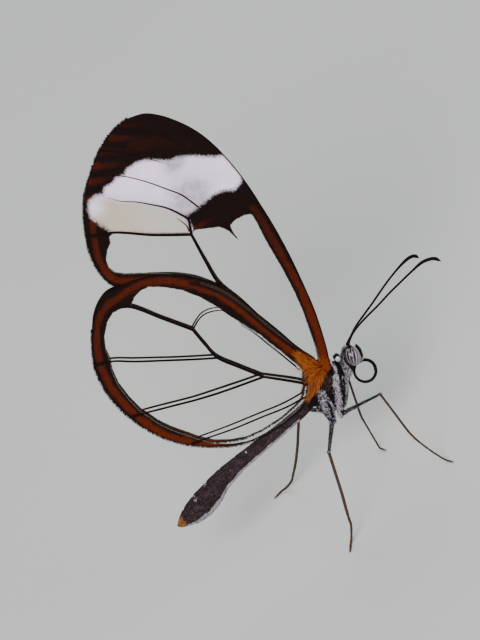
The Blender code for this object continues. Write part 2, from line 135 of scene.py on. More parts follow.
# Rust-coloured bands inside the dark borders: course, half width and strength at each end
FOREWING_RUST = (
    (((2.15, 11.9), (2.45, 13.0), (2.93, 14.5), (3.4, 16.4), (3.82, 18.4), (4.08, 20.0), (4.35, 23.0),
      (4.56, 26.0), (4.68, 28.6)), (0.46, 0.34), (0.95, 0.22)),
    (((-6.75, 36.3), (-7.4, 34.9), (-7.98, 33.5), (-8.2, 32.0), (-8.0, 30.9), (-7.3, 30.1), (-6.0, 29.2),
      (-4.6, 28.0)), (0.3, 0.42), (0.42, 0.7)),
    (((-0.4, 41.6), (1.7, 40.1)), (0.3, 0.2), (0.12, 0.0)),
    (((-1.6, 41.2), (0.9, 39.2)), (0.4, 0.2), (0.26, 0.0)),
    (((-2.9, 40.8), (-0.4, 38.8)), (0.4, 0.2), (0.26, 0.0)),
    (((-4.0, 40.1), (-1.7, 38.5)), (0.46, 0.2), (0.34, 0.0)),
    (((-5.0, 39.2), (-3.0, 38.3)), (0.46, 0.25), (0.36, 0.08)),
    (((-6.1, 38.1), (-5.1, 38.1)), (0.32, 0.1), (0.32, 0.1)),
    (((-0.3, 39.4), (1.6, 38.3), (3.2, 36.6)), (0.9, 0.6), (0.1, 0.03)),
    (((-0.1, 30.15), (0.7, 30.1), (1.5, 29.9)), (0.36, 0.2), (0.34, 0.05)),
)
HINDWING_RUST = (
    (((0.9, 12.3), (1.05, 13.4), (0.81, 14.65), (0.48, 15.82), (0.18, 17.02), (-0.1, 18.25),
      (-0.43, 19.39), (-0.73, 20.57), (-1.01, 21.78), (-1.5, 23.3), (-2.1, 24.7), (-3.15, 26.3),
      (-4.4, 27.8), (-5.8, 28.85), (-7.2, 29.3), (-8.6, 29.4), (-9.6, 29.4)), (0.44, 0.42), (0.9, 0.5)),
    (((-9.4, 29.6), (-10.8, 29.0), (-11.8, 27.9), (-12.6, 26.5), (-13.1, 25.0), (-13.38, 23.3),
      (-13.38, 21.4), (-13.1, 19.5), (-12.65, 17.8), (-11.85, 16.0), (-10.75, 14.35)), (0.36, 0.42),
      (0.42, 0.85)),
    (((-10.75, 14.35), (-9.75, 13.3), (-8.7, 12.4), (-8.0, 11.85)), (0.4, 0.06), (0.9, 0.5)),
)

# Where the scales of the wing roots are amber, the hinge, and the bare strip behind the hindwing's front edge
ROOT_PATCH = (
    (2.6, 11.4), (2.9, 12.3), (2.65, 12.9), (2.2, 13.3), (1.65, 14.0), (1.15, 14.9), (0.6, 15.3),
    (0.55, 14.2), (0.5, 13.1), (0.3, 12.5), (0.0, 11.95), (-0.45, 11.5), (-0.8, 11.1), (-0.75, 10.7),
    (0.3, 10.8), (1.3, 11.3), (2.0, 11.4))
ROOT_HINGE = (1.85, 12.65)
BARE_STRIP = (
    (1.07, 15.2), (0.78, 16.6), (0.49, 17.83), (0.19, 19.02), (-0.11, 20.18), (-0.37, 21.38), (-0.68, 22.6),
    (-1.0, 23.7), (-1.6, 24.9), (-2.4, 26.1), (-2.5, 25.9), (-1.8, 24.7), (-1.35, 23.6), (-0.85, 22.08),
    (-0.55, 20.92), (-0.28, 19.68), (0.01, 18.48), (0.33, 17.32), (0.69, 16.2), (1.0, 15.2))

# Veins: course, and radius at each end
FOREWING_VEINS = (
    (((-0.2, 20.0), (-0.62, 22.3), (-1.2, 24.8), (-1.05, 27.3), (-0.76, 29.95)), 0.15, 0.125),
    (((-0.76, 29.95), (-2.2, 31.1), (-3.55, 32.22), (-5.0, 33.6), (-5.95, 34.4),
      (-7.5, 35.3)), 0.135, 0.108),
    (((-0.76, 29.95), (-0.5, 30.6), (-0.28, 31.2), (-0.5, 31.9), (-1.15, 33.2), (-2.02, 34.3),
      (-2.9, 35.3), (-3.9, 36.2), (-4.5, 37.0), (-5.2, 37.7)), 0.121, 0.02),
    (((0.98, 31.6), (0.45, 33.3), (-0.3, 34.6), (-1.36, 36.3), (-2.71, 38.0), (-4.6, 39.6)), 0.081, 0.041),
    (((1.1, 36.05), (0.22, 37.3), (-0.6, 38.4), (-1.7, 39.8), (-2.9, 40.9)), 0.03, 0.06),
    (((2.9, 36.7), (2.2, 38.2), (0.9, 39.9), (-0.6, 41.4)), 0.03, 0.06),
    (((-0.76, 30.3), (-0.68, 30.9), (-0.95, 31.9)), 0.061, 0.027),
    (((1.9, 28.6), (2.05, 27.9), (2.12, 27.0)), 0.081, 0.02),
)
HINDWING_VEINS = (
    (((-9.6, 28.9), (-8.22, 28.0), (-6.7, 25.4), (-5.18, 22.82)), 0.121, 0.121),
    (((-5.18, 22.82), (-5.05, 21.0), (-4.83, 19.28), (-3.8, 17.3), (-2.62, 15.18)), 0.121, 0.121),
    (((-2.62, 15.18), (-1.32, 13.73), (-0.35, 12.6), (0.0, 12.1)), 0.121, 0.135),
    (((-5.18, 22.82), (-4.3, 23.25), (-3.61, 23.34), (-2.9, 23.1), (-2.3, 22.7)), 0.081, 0.047),
    (((-4.83, 19.28), (-6.8, 20.75), (-8.88, 22.38), (-10.6, 23.75), (-12.01, 24.95),
      (-13.5, 25.75)), 0.101, 0.09),
    (((-2.62, 15.18), (-5.2, 16.1), (-8.03, 17.2), (-10.4, 18.3), (-12.41, 19.25),
      (-13.6, 19.75)), 0.108, 0.09),
    (((-0.6, 11.2), (-2.6, 11.55), (-4.87, 12.24), (-7.4, 13.0), (-9.9, 13.9),
      (-10.7, 14.15)), 0.088, 0.07),
    (((1.3, 14.3), (1.08, 15.08), (0.72, 16.2), (0.36, 17.32), (0.04, 18.48), (-0.25, 19.68),
      (-0.52, 20.92), (-0.82, 22.08), (-1.4, 23.8), (-2.2, 25.3), (-3.1, 26.5)), 0.07, 0.03),
    (((0.18, 13.63), (-0.13, 14.84), (-0.42, 16.06), (-0.74, 17.23), (-1.02, 18.43), (-1.35, 19.57),
      (-1.7, 20.5)), 0.04, 0.03),
    (((1.85, 12.6), (1.2, 12.95), (0.5, 12.9), (-0.05, 12.15)), 0.06, 0.08),
    (((1.8, 12.7), (1.45, 13.4), (1.25, 14.4)), 0.06, 0.07),
    (((1.75, 12.45), (1.0, 12.3), (0.2, 11.75), (-0.6, 11.2)), 0.05, 0.07),
)
COSTA_RADIUS = {"forewing": (0.06, 0.05), "hindwing": (0.05, 0.06)}
MARGIN_RADIUS = 0.05
# Veins turn amber between these depths in the root patch
VEIN_AMBER = (-0.6, 0.5)
WINGS = {
    "forewing": {"lead": FOREWING_LEAD, "rear": FOREWING_REAR, "window": FOREWING_WINDOW,
                 "rust": FOREWING_RUST, "veins": FOREWING_VEINS},
    "hindwing": {"lead": HINDWING_LEAD, "rear": HINDWING_REAR, "window": HINDWING_WINDOW,
                 "rust": HINDWING_RUST, "veins": HINDWING_VEINS},
}
# Rust glows with this least share and rest, between two distances from a vein; the edge's length unrolled
VEIN_SHADE = (0.15, 0.85, 0.1, 0.3)
EDGE_LENGTH = 80.0

# White band: the vein that parts its dense front from its thin cream rear, a dense lobe as middle and
# radius, and smoky spots as middle, squeeze, radius and strength
MILK_DIVIDE = FOREWING_VEINS[2][0]
MILK_LOBE = ((-6.0, 37.2), 0.9)
MILK_SMOKE = (((0.9, 32.6), (0.9, 0.9), 1.3, 1.0), ((1.5, 36.0), (0.7, 1.0), 0.6, 0.8))
SMOKE_STRENGTH = 2.2
# Between which distances past the dividing vein the band turns dense, thin and cream, and from which x on
# its cream part is thinner still
MILK_DENSE, MILK_THIN, MILK_CREAM = (-0.5, 0.9), (-0.35, 0.3), (-0.35, 0.15)
MILK_THIN_X = (-5.6, -2.2)
# How see-through the band is at its thinnest, and how much each part of it changes that
MILK_VEIL = {"thinnest": 0.5, "denser": 0.46, "smoky": 0.5, "cream": 0.36}

# Wing surface: waves as height and turns a millimetre along x and z; how far the tips close between two
# heights; the flank's ellipse as middle, half sizes, least and further depth; how far the hindwing's front
# part lies outside between two distances from its front edge, and its root
WING_WAVES = ((0.04, 0.55, 0.3), (0.025, 1.1, -0.25))
TIP_CLOSING = (0.11, 22.0, 38.0)
FLANK_ELLIPSE = ((1.3, 9.7), (2.5, 2.75), 0.14, 1.14)
HINDWING_OVERLAP = (0.14, 1.6, 3.6, 0.12)
DEPTH_SHARPNESS = 9.0
# The left wings hide behind the right ones: they are drawn in towards the root by a share. The left
# forewing also hangs lower, and its front edge bends forwards between the first two heights and back
# between the others
WING_ROOT = (1.5, 12.0)
FAR_WING_DRAW = {"forewing": 0.007, "hindwing": 0.015}
FAR_WING_DROP = 0.12
FAR_WING_BEND = 0.14
FAR_WING_BEND_HEIGHTS = ((12.0, 17.0), (25.0, 32.0))

# Tufts: shares of the length before and after the widest place, share of the lift left at the tip, the
# points on a patch of the unwrap and its width, and how dark black and other tufts are
TUFT_ROOT, TUFT_TIP = 0.45, 0.55
TIP_LIFT = 0.4
TUFT_PATCH = ((-0.3, -0.5), (0.3, -0.5), (0.0, -0.4), (-0.5, 0.0), (0.5, 0.0), (0.0, 0.1), (0.0, 0.5))
PATCH_WIDTH = 0.003
BLACK_SHADE, LIGHT_SHADE = 0.9, 0.45
# Fringe of the wings, and hairs of their roots
FRINGE = {"rows": 400, "count": 1500, "first": {"forewing": 8.0, "hindwing": 0.0}, "lean": 0.3,
          "spread": 0.12, "length": (0.14, 0.26), "width": 0.035}
ROOT_HAIRS = {"tries": 4000, "count": 460, "inside_patch": 0.05, "inside_wing": 0.03, "middle": (0.9, 12.6),
              "reach": 2.3, "spread": 0.12, "step": 0.05, "length": (0.35, 0.95), "width": (0.014, 0.026),
              "lift": (0.03, 0.2), "height": 0.03, "unwrap_corner": (-3.0, 8.0), "unwrap_size": 10.0}

# Body: height of its underside and of its back, and half width, at each x from tail to brow
BODY_STATIONS = (
    (-15.62, 8.35, 8.4, 0.02), (-15.45, 8.12, 8.68, 0.26), (-15.1, 7.9, 8.98, 0.5), (-14.6, 7.7, 9.24, 0.7),
    (-14.0, 7.53, 9.5, 0.85), (-13.1, 7.48, 9.77, 0.96), (-11.8, 7.8, 10.02, 0.95),
    (-10.4, 8.5, 10.27, 0.79), (-8.6, 8.95, 10.37, 0.64), (-6.8, 9.12, 10.4, 0.56),
    (-3.8, 9.36, 10.42, 0.48), (-1.9, 9.55, 10.5, 0.5), (-1.2, 9.7, 10.6, 0.46), (-0.7, 9.85, 10.8, 0.55),
    (-0.3, 9.75, 11.2, 0.8), (0.0, 9.5, 11.5, 0.98), (0.4, 8.75, 11.75, 1.15), (1.0, 8.2, 11.95, 1.25),
    (1.6, 8.1, 12.03, 1.25), (2.1, 8.65, 12.05, 1.18), (2.6, 9.3, 12.02, 1.0), (3.0, 9.75, 11.95, 0.8),
    (3.3, 9.95, 11.85, 0.64), (3.55, 10.07, 11.85, 0.55), (3.85, 10.25, 12.0, 0.5),
    (4.2, 10.5, 12.14, 0.55), (4.55, 10.56, 12.1, 0.5), (4.82, 10.75, 11.9, 0.4), (5.0, 11.0, 11.62, 0.26),
    (5.08, 11.28, 11.33, 0.02),
)
# Where the head starts and the abdomen ends along x, and the least half size of a ring
HEAD_START, WAIST = 3.5, -1.0
THINNEST = 0.004
# Edges of the abdomen's segments, the depth of their grooves, and the bells that make the profile of one:
# depth, distance ahead of the edge, and half width
SEGMENT_EDGES = (-3.5, -5.2, -6.9, -8.5, -10.1, -11.7, -13.2, -14.5)
GROOVE_DEPTH = 0.05
SEGMENT_PROFILE = ((1.0, 0.0, 0.09), (-0.4, 0.3, 0.25))
# Lobes of the collar, the bright dots on them, which are a painted highlight of white scales where a glint of
# light falls, and the wing covers
COLLAR_LOBE = {"middle": (3.4, 0.18, 12.22), "half": (0.2, 0.16, 0.24)}
COLLAR_GLINT_DOT = {"middle": (3.37, 0.35, 12.3), "half": (0.12, 0.1, 0.14)}
TEGULA = {"middle": (2.65, 0.85, 12.05), "half": (0.17, 0.15, 0.7)}

# Eyes
EYE_MIDDLE = (4.5, 0.4, 11.55)
EYE_HALF = (0.65, 0.64, 0.86)
# Where the stripes meet, the direction that faces outwards, and turn and half width of each stripe in degrees
EYE_POLE = (-0.53, 0.385, -0.76)
EYE_OUTWARD = (-0.06, 0.87, 0.485)
EYE_STRIPES = ((-84.0, 11.0), (-58.0, 9.5), (-34.0, 9.5), (-11.0, 10.0), (14.0, 9.5), (37.0, 5.0))
# The turns between which the eye's front turns grey, and the turn past which its inner side is dark
EYE_FRONT = (24.0, 60.0)
EYE_INNER = 104.0

# Hips: place and half thickness from the flank down to the leg
HIPS = {
    "mid": ((2.33, 0.85, 11.4, 0.3), (1.8, 1.1, 10.5, 0.42), (1.58, 1.2, 9.8, 0.42), (1.26, 1.14, 9.05, 0.36),
            (0.99, 1.02, 8.44, 0.3), (0.85, 0.95, 8.0, 0.22), (0.8, 0.92, 7.85, 0.1)),
    "hind": ((0.65, 0.75, 11.0, 0.3), (0.5, 1.0, 10.3, 0.5), (0.33, 1.12, 9.7, 0.55), (0.13, 1.1, 8.85, 0.42),
             (0.08, 1.0, 8.25, 0.3), (0.0, 0.95, 7.8, 0.14)),
    "fore": ((2.75, 0.4, 10.7, 0.2), (2.62, 0.62, 10.1, 0.26), (2.25, 0.66, 9.4, 0.24), (1.9, 0.6, 8.8, 0.18),
             (1.68, 0.55, 8.4, 0.1)),
}
HIP_FLATNESS = 0.55

# Markings of head and flank, drawn on an upright plane beside the body. A place nearer the middle
# plane takes the marking that lies straight behind this plane along a slanting line.
FLANK_PLANE = 1.2
FLANK_SLANT = (-0.075, 0.6)
# Pale stripes: course, half width, and how sure the pale scales are there
FLANK_STRIPES = (
    (((2.31, 11.53), (2.08, 11.13), (1.84, 10.62), (1.6, 10.0), (1.32, 9.4), (1.06, 8.79),
      (0.81, 8.28)), 0.27, 1.0),
    (((2.8, 11.1), (2.54, 10.5), (2.22, 9.94)), 0.09, 0.05),
    (((2.94, 10.82), (2.6, 10.2), (2.04, 9.34), (1.38, 8.5)), 0.08, 0.12),
    (((0.72, 9.91), (0.59, 9.19), (0.39, 8.52), (0.25, 8.04)), 0.1, 1.0),
    (((3.92, 12.82), (3.77, 12.54), (3.7, 12.31), (3.65, 12.05), (3.67, 11.74)), 0.045, 1.0),
)
BROWN_PATCH = ((1.3, 12.39), (2.06, 11.74), (1.48, 10.81), (0.72, 11.46))
# Pale patches: cheek, wing cover and hind hip, then the sparse specks of the brown patch
PALE_PATCHES = (
    (((3.4, 12.38), (3.68, 12.08), (3.73, 11.39), (3.77, 11.01), (3.64, 10.63), (3.37, 10.45),
      (3.03, 10.32), (2.77, 10.07), (2.64, 10.3), (2.83, 10.85), (3.1, 11.33), (3.24, 11.87)), 0.05),
    (((2.61, 12.99), (2.75, 12.7), (2.74, 12.17), (2.6, 11.69), (2.47, 11.57), (2.36, 11.72),
      (2.5, 12.06), (2.53, 12.38), (2.55, 12.67)), 1.0),
    (((0.51, 11.63), (0.95, 11.14), (0.8, 10.56), (0.79, 10.03), (0.55, 10.06), (0.42, 9.69),
      (0.26, 9.34), (0.08, 8.78), (-0.06, 8.3), (-0.15, 8.5), (-0.18, 9.13), (-0.16, 9.59),
      (-0.1, 10.13), (0.03, 10.5), (0.12, 10.9)), 0.02),
    (BROWN_PATCH, -0.12),
)
# Dark streaks within the pale parts: course and half width
DARK_STREAKS = (
    (((2.74, 10.95), (2.48, 10.4), (1.87, 9.46), (1.43, 8.86)), 0.1),
    (((3.48, 12.26), (3.38, 11.88)), 0.07),
    (((3.35, 11.71), (3.57, 11.37)), 0.07),
    (((0.53, 9.95), (0.38, 9.36), (0.18, 8.7), (0.12, 8.15)), 0.1),
)
# Single pale dots: collar, crown, palps, flank, and the upper edge of the abdomen. The collar's dot is a
# painted highlight: pale scales where a glint of light falls
PALE_SPOTS = (
    ((3.3, 12.84), 0.1), ((4.49, 13.06), 0.08), ((4.25, 13.01), 0.07), ((4.81, 12.92), 0.07),
    ((4.95, 11.27), 0.09), ((4.79, 11.07), 0.09), ((1.48, 10.54), 0.07), ((2.22, 11.67), 0.08),
    ((2.5, 11.69), 0.07), ((0.56, 10.94), 0.08), ((0.35, 11.36), 0.08), ((1.11, 8.56), 0.08),
    ((1.29, 8.17), 0.08), ((3.19, 10.93), 0.08), ((-7.55, 10.93), 0.07), ((-11.95, 10.74), 0.06),
    ((-13.22, 10.51), 0.07), ((-13.33, 10.1), 0.06),
)
# How sharply pale marks end on the head, and fade around them elsewhere
PALE_SHARPNESS = {"head": 3.0, "around": 2.0}
# Pale strip of the belly: its top as a share of the body's height at each x, how the top slopes in each
# segment, how sharply it ends, and its shade and the blend of that
BELLY_START = -2.2
BELLY_STRIP = ((-15.0, 0.33), (-12.0, 0.33), (-9.0, 0.32), (-3.0, 0.34))
BELLY_SLOPE, BELLY_SHARPNESS = 0.06, 4.0
BELLY_SHADE, BELLY_BLEND = 0.55, 0.1
# Tan tip of the abdomen, tan flecks of the brown patch, and the level at which the abdomen is brownest
TAN_START, TAN_LENGTH = -14.0, 0.55
PATCH_TAN = -0.13
BROWN_LEVEL = 0.6
# How dark the bare skin is, and the share of black tufts in the coat
SKIN_SHADE = {"abdomen": 0.2, "thorax": 0.6}
BLACK_TUFTS = {"abdomen": 0.2, "thorax": 0.46, "hips": 0.42}

# Coat at each x: how crowded its tufts are, their length, width, lift in degrees and fall
COAT_STATIONS = (
    (-15.6, 1.6, 0.36, 0.06, 16.0, 0.0), (-14.9, 0.8, 0.17, 0.06, 12.0, 0.0),
    (-2.0, 0.8, 0.15, 0.055, 10.0, 0.0), (-0.5, 1.6, 0.26, 0.05, 20.0, -0.9),
    (2.6, 1.8, 0.3, 0.045, 24.0, -1.1), (3.4, 2.2, 0.2, 0.04, 26.0, -0.6),
    (5.2, 2.6, 0.14, 0.035, 28.0, 0.4),
)
# Parts of the coat: from and up to which x, and how many tufts
COAT_PARTS = (("abdomen", -16.0, -1.2, 11000), ("thorax", -1.2, HEAD_START, 9000),
              ("head", HEAD_START, 5.4, 3000))
COAT_SPREAD, LENGTH_SPREAD, LIFT_SPREAD = 0.15, (0.7, 1.3), (0.6, 1.4)
HIP_COAT = {"counts": {"mid": 1100, "hind": 1100, "fore": 500, "lobe": 320}, "back": -0.15, "spread": 0.2,
            "length": (0.16, 0.34), "width": 0.045, "lift": (10.0, 28.0)}
# Tufts this near to the middle of a collar dot are bright, to carry its painted highlight
COLLAR_GLINT_COAT = 0.18
# Hairs of the crown, and those that frame the eyes: how many, where, and how long
CROWN = {"count": 420, "x": (3.72, 4.8), "across": 0.85, "forwards": (0.05, 0.3), "outwards": 0.45,
         "spread": 0.2, "length": (0.26, 0.44), "width": 0.032, "shade": (0.3, 1.0),
         "unwrap_corner": (3.0, 10.0), "unwrap_size": 4.0}
EYE_FRAME = {"count": 300, "turn": (50.0, 165.0), "lean": (20.0, 55.0), "aside": 0.3, "spread": 0.25,
             "length": (0.1, 0.18)}

# Antennae: course; radius at the root, and the steps it takes between two shares of the length; a knob as
# height, place and half width; and the rings
ANTENNAE = {
    "right": (
        (4.6, -0.28, 12.0), (4.8, -0.38, 12.7), (5.36, -0.55, 13.3), (6.13, -0.71, 13.75),
        (7.2, -0.86, 14.1), (8.5, -1.02, 14.4), (10.0, -1.17, 14.8), (11.45, -1.33, 15.12),
        (12.7, -1.48, 15.38), (13.55, -1.64, 15.55), (14.2, -1.79, 15.47), (14.67, -1.95, 15.25),
        (14.95, -2.1, 14.8)),
    "left": (
        (4.6, 0.28, 11.9), (4.8, 0.38, 12.45), (5.4, 0.55, 12.72), (6.25, 0.71, 13.1), (7.31, 0.86, 13.4),
        (8.5, 1.02, 13.72), (9.44, 1.17, 14.0), (10.5, 1.33, 14.3), (11.5, 1.48, 14.53), (12.6, 1.64, 14.7),
        (13.36, 1.79, 14.67), (13.86, 1.95, 14.4), (14.1, 2.1, 13.9)),
}
ANTENNA_RADII = (0.072, ((0.02, 0.08, 0.3), (0.058, 0.72, 0.92), (-0.11, 0.965, 1.0)))
ANTENNA_KNOB = (0.045, 0.05, 0.013)
ANTENNA_RINGS, ANTENNA_RING_HEIGHT = 40.0, 0.06
# Palps: course, radius in the same way, and coat
PALP = ((4.45, 0.14, 10.7), (4.8, 0.14, 10.55), (5.1, 0.14, 10.7), (5.21, 0.14, 10.9), (5.29, 0.15, 11.19),
        (5.34, 0.15, 11.5), (5.32, 0.14, 11.81), (5.35, 0.13, 11.99))
PALP_RADII = (0.065, ((0.05, 0.6, 0.85), (-0.09, 0.92, 1.0)))
PALP_COAT = {"count": 500, "shade": 0.7, "length": (0.1, 0.2), "width": 0.026, "lift": (10.0, 30.0)}
# Tongue: middle and radius of its coil in side view, where it starts and how far it turns in degrees, how
# much it tightens past its first ring, how it leans and drifts sideways, and how thick it is
TONGUE_MIDDLE = (4.7, 9.63)
TONGUE_COIL = 0.92
TONGUE_START, TONGUE_SWEEP = 105.0, 500.0
TONGUE_TIGHTENING, TONGUE_RING = 0.14, 0.6
TONGUE_LEAN, TONGUE_DRIFT = 0.3, 0.1
TONGUE_RADIUS, TONGUE_TAPER = 0.15, 0.06

# Folded forelegs
FORELEG = ((1.6, 0.5, 8.3), (1.9, 0.55, 8.75), (2.3, 0.55, 9.3), (2.62, 0.5, 9.85), (3.1, 0.42, 10.2))
FORELEG_RADIUS, FORELEG_TAPER = 0.13, 0.05
# Walking legs: hip, knee, ankle and toe, the way the toe points in degrees, how the foot bows, how round the
# ankle is, and how stout the leg is
LEGS = {
    "hindleg_right": {"hip": (-0.05, -1.1, 8.2), "knee": (-2.1, -4.9, 8.2), "ankle": (-3.65, -5.9, 3.4),
                      "toe": (-5.5, -6.35), "heading": 240.0, "bow": (0.3, 0.0, 0.1), "round": 1.5,
                      "stout": 1.35},
    "hindleg_left": {"hip": (-0.05, 1.1, 8.2), "knee": (-1.4, 4.5, 7.7), "ankle": (-4.3, 6.0, 2.4),
                     "toe": (-7.3, 7.7), "heading": 190.0, "bow": (0.12, 0.0, -0.3), "round": 2.3,
                     "stout": 1.25},
    "midleg_right": {"hip": (1.1, -1.1, 8.15), "knee": (4.35, -3.3, 8.75), "ankle": (4.5, -3.9, 3.9),
                     "toe": (6.0, -4.9), "heading": -70.0, "bow": (-0.04, -0.1, -0.12), "round": 1.0,
                     "stout": 1.0},
    "midleg_left": {"hip": (1.2, 0.95, 7.9), "knee": (3.6, 3.1, 8.65), "ankle": (2.5, 3.0, 4.3),
                    "toe": (2.54, 3.03), "heading": -75.0, "bow": (0.0, 0.0, 0.0), "round": 0.5,
                    "stout": 1.0},
}
FOOT_LENGTH = 0.8
TOE_HEIGHT, HEEL_RISE = 0.08, 0.05
# Shares of shin and foot that the ankle's bend takes, the most of the foot, and the notches between the
# foot's pieces
ANKLE_BEND, ANKLE_BEND_MOST = (0.16, 0.22), 0.35
TARSUS_PIECES = 5
NOTCH_DEPTH, NOTCH_HALF = 0.3, 0.06
# A claw from the toe on: ahead, aside and up; a spur from the ankle on: along the shin and aside
CLAW = ((0.12, 0.05, 0.03), (0.2, 0.09, -0.045))
SPUR = ((0.24, 0.1), (0.4, 0.13))
CLAW_HEIGHT, CLAW_RADII = 0.02, (0.035, 0.008)
# Shares of the way to the knee between which a leg turns brown
LEG_BROWN = (0.85, 1.15)
# Bristles of the legs, and how the share of pale ones goes with a leg's stoutness
LEG_COAT = {"count": 1500, "outer_share": 0.35, "lowest": 0.12, "near": (0.09, 0.17), "far": (0.07, 0.13),
            "root_end": 0.3, "root_more": 0.9, "width": 0.028, "lift": (12.0, 34.0)}
LEG_SPECKLES = (0.7, 0.56)

# Finishes: raggedness and softness of each marking's edge in millimetres
MARKING_EDGES = {"window": (0.16, 0.09), "milk_edge": (0.5, 0.5), "amber": (0.7, 0.9), "bare": (0.1, 0.1),
                 "Pale": (0.7, 0.16), "Tan": (0.7, 0.35), "Brown": (0.5, 0.8), "stripe": (0.1, 0.05)}
# Width of a scale and of an eye's facet
SCALE_WIDTH, FACET_WIDTH = 0.09, 0.045
# Wings: how streaks are drawn out along the edge, and how strongly streaks, blots and rust show; how much
# the amber covers, how much rust is in it, and how clear the bare strip is; how rough scales are, and how
# much smoother a window is
STREAK_STRETCH, STREAK_STRENGTH, BLOT_STRENGTH, RUST_STRENGTH = 0.12, 1.2, 0.7, 1.7
AMBER_COVER, AMBER_RUST, BARE_VEIL = 0.9, 1.1, 0.3
SCALE_ROUGHNESS, WINDOW_SMOOTHNESS = 0.75, 0.5


# Arrays and curves

def smooth_curve(points, samples):
    """A Catmull-Rom curve through the points, resampled to equal steps along its length."""
    knots = np.asarray(points, float)
    knots = np.vstack((2 * knots[0] - knots[1], knots, 2 * knots[-1] - knots[-2]))
    t = np.linspace(0.0, 1.0, 16, endpoint=False)[:, None]
    pieces = []
    for a, b, c, d in zip(knots, knots[1:], knots[2:], knots[3:]):
        pieces.append(0.5 * (2 * b + (c - a) * t + (2 * a - 5 * b + 4 * c - d) * t ** 2
                             + (3 * b - a - 3 * c + d) * t ** 3))
    fine = np.vstack(pieces + [knots[-2:-1]])
    reach = np.concatenate(([0.0], np.cumsum(np.linalg.norm(np.diff(fine, axis=0), axis=1))))
    wanted = np.linspace(0.0, reach[-1], samples)
    return np.stack([np.interp(wanted, reach, column) for column in fine.T], axis=1)


def blend_step(low, high, value):
    """A smooth rise from 0 at low to 1 at high."""
    share = np.clip((value - low) / (high - low), 0.0, 1.0)
    return share * share * (3.0 - 2.0 * share)


def line_distance(points, line):
    """Distance from each point to an open line, and how far along the line the nearest place is."""
    line = np.asarray(line, float)
    best = np.full(len(points), 1e9)
    along = np.zeros(len(points))
    total = len(line) - 1
    for k, (a, b) in enumerate(zip(line, line[1:])):
        span = b - a
        share = np.clip((points - a) @ span / max(span @ span, 1e-12), 0.0, 1.0)
        gap = np.linalg.norm(points - a - share[:, None] * span, axis=1)
        near = gap < best
        best[near] = gap[near]
        along[near] = (k + share[near]) / total
    return best, along


def signed_distance(points, outline):
    """Distance to a closed outline, positive inside it and negative outside."""
    ring = np.vstack((outline, outline[:1]))
    gap, _ = line_distance(points, ring)
    inside = np.zeros(len(points), bool)
    x, y = points[:, 0], points[:, 1]
    for (ax, ay), (bx, by) in zip(ring, ring[1:]):
        crosses = (ay > y) != (by > y)
        inside ^= crosses & (x < (bx - ax) * (y - ay) / (by - ay + 1e-12) + ax)
    return np.where(inside, gap, -gap)


def in_metres(points):
    """Points in the drawing frame, in millimetres, as metres in the row's frame."""
    return (np.asarray(points, float) + STANCE) * MM


# Meshes

def grid_faces(rows, columns, closed=False, start=0, flip=False):
    """Quads of a grid stored row by row; a closed grid joins its last column to its first."""
    across = columns if closed else columns - 1
    i, k = np.meshgrid(np.arange(rows - 1), np.arange(across), indexing="ij")
    a = i * columns + k
    b = i * columns + (k + 1) % columns
    quads = np.stack((a, b, b + columns, a + columns), axis=-1).reshape(-1, 4) + start
    return quads[:, ::-1] if flip else quads


def mesh_object(name, points, faces, finish, nodes=(), values=None, unwrap=None):
    """An object from points in millimetres and a list of face arrays, riding on the body.

    values holds one number a point for each named attribute, and unwrap one (u, v) a point. A
    closed mesh whose signed volume is negative has all its faces turned round.
    """
    mesh = bpy.data.meshes.new(name)
    points = in_metres(points)
    triangles = np.concatenate([f[:, [0, k, k + 1]] for f in faces for k in range(1, f.shape[1] - 1)])
    a, b, c = np.moveaxis((points - points.mean(0))[triangles], 1, 0)
    if np.einsum("ij,ij->i", a, np.cross(b, c)).sum() < 0.0:
        faces = [f[:, ::-1] for f in faces]
    corners = np.concatenate([f.reshape(-1) for f in faces])
    sizes = np.concatenate([np.full(len(f), f.shape[1]) for f in faces])
    mesh.vertices.add(len(points))
    mesh.vertices.foreach_set("co", points.reshape(-1))
    mesh.loops.add(len(corners))
    mesh.loops.foreach_set("vertex_index", corners.astype(np.int32))
    mesh.polygons.add(len(sizes))
    mesh.polygons.foreach_set("loop_start", (np.cumsum(sizes) - sizes).astype(np.int32))
    mesh.polygons.foreach_set("use_smooth", np.full(len(sizes), True))
    mesh.update(calc_edges=True)
    for key, column in (values or {}).items():
        layer = mesh.attributes.new(key, "FLOAT", "POINT")
        layer.data.foreach_set("value", np.asarray(column, np.float32))
    if unwrap is not None:
        layer = mesh.uv_layers.new(name="OFBake")
        layer.data.foreach_set("uv", np.asarray(unwrap, np.float32)[corners].reshape(-1))
    mesh.materials.append(finish)
    obj = bpy.data.objects.new(name, mesh)
    bpy.context.scene.collection.objects.link(obj)
    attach(obj, "root")
    if nodes:
        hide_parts(*nodes)
    return obj


def tube_rings(path, radii, sides, flat=1.0, up=(0.0, 0.0, 1.0)):
    """Rings of a tube: round each place on the path a circle of the radius, across the path.

    A ring's first axis is turned as near to the up direction as it goes; flat scales the other.
    """
    path = np.asarray(path, float)
    radii = np.broadcast_to(np.asarray(radii, float), (len(path),))
    way = np.gradient(path, axis=0)
    way /= np.linalg.norm(way, axis=1)[:, None]
    first = np.asarray(up, float) - (way @ np.asarray(up, float))[:, None] * way
    first /= np.linalg.norm(first, axis=1)[:, None]
    second = np.cross(way, first)
    angle = np.linspace(0.0, 2.0 * math.pi, sides, endpoint=False)
    return (path[:, None, :] + radii[:, None, None]
            * (np.cos(angle)[None, :, None] * first[:, None, :]
               + flat * np.sin(angle)[None, :, None] * second[:, None, :]))


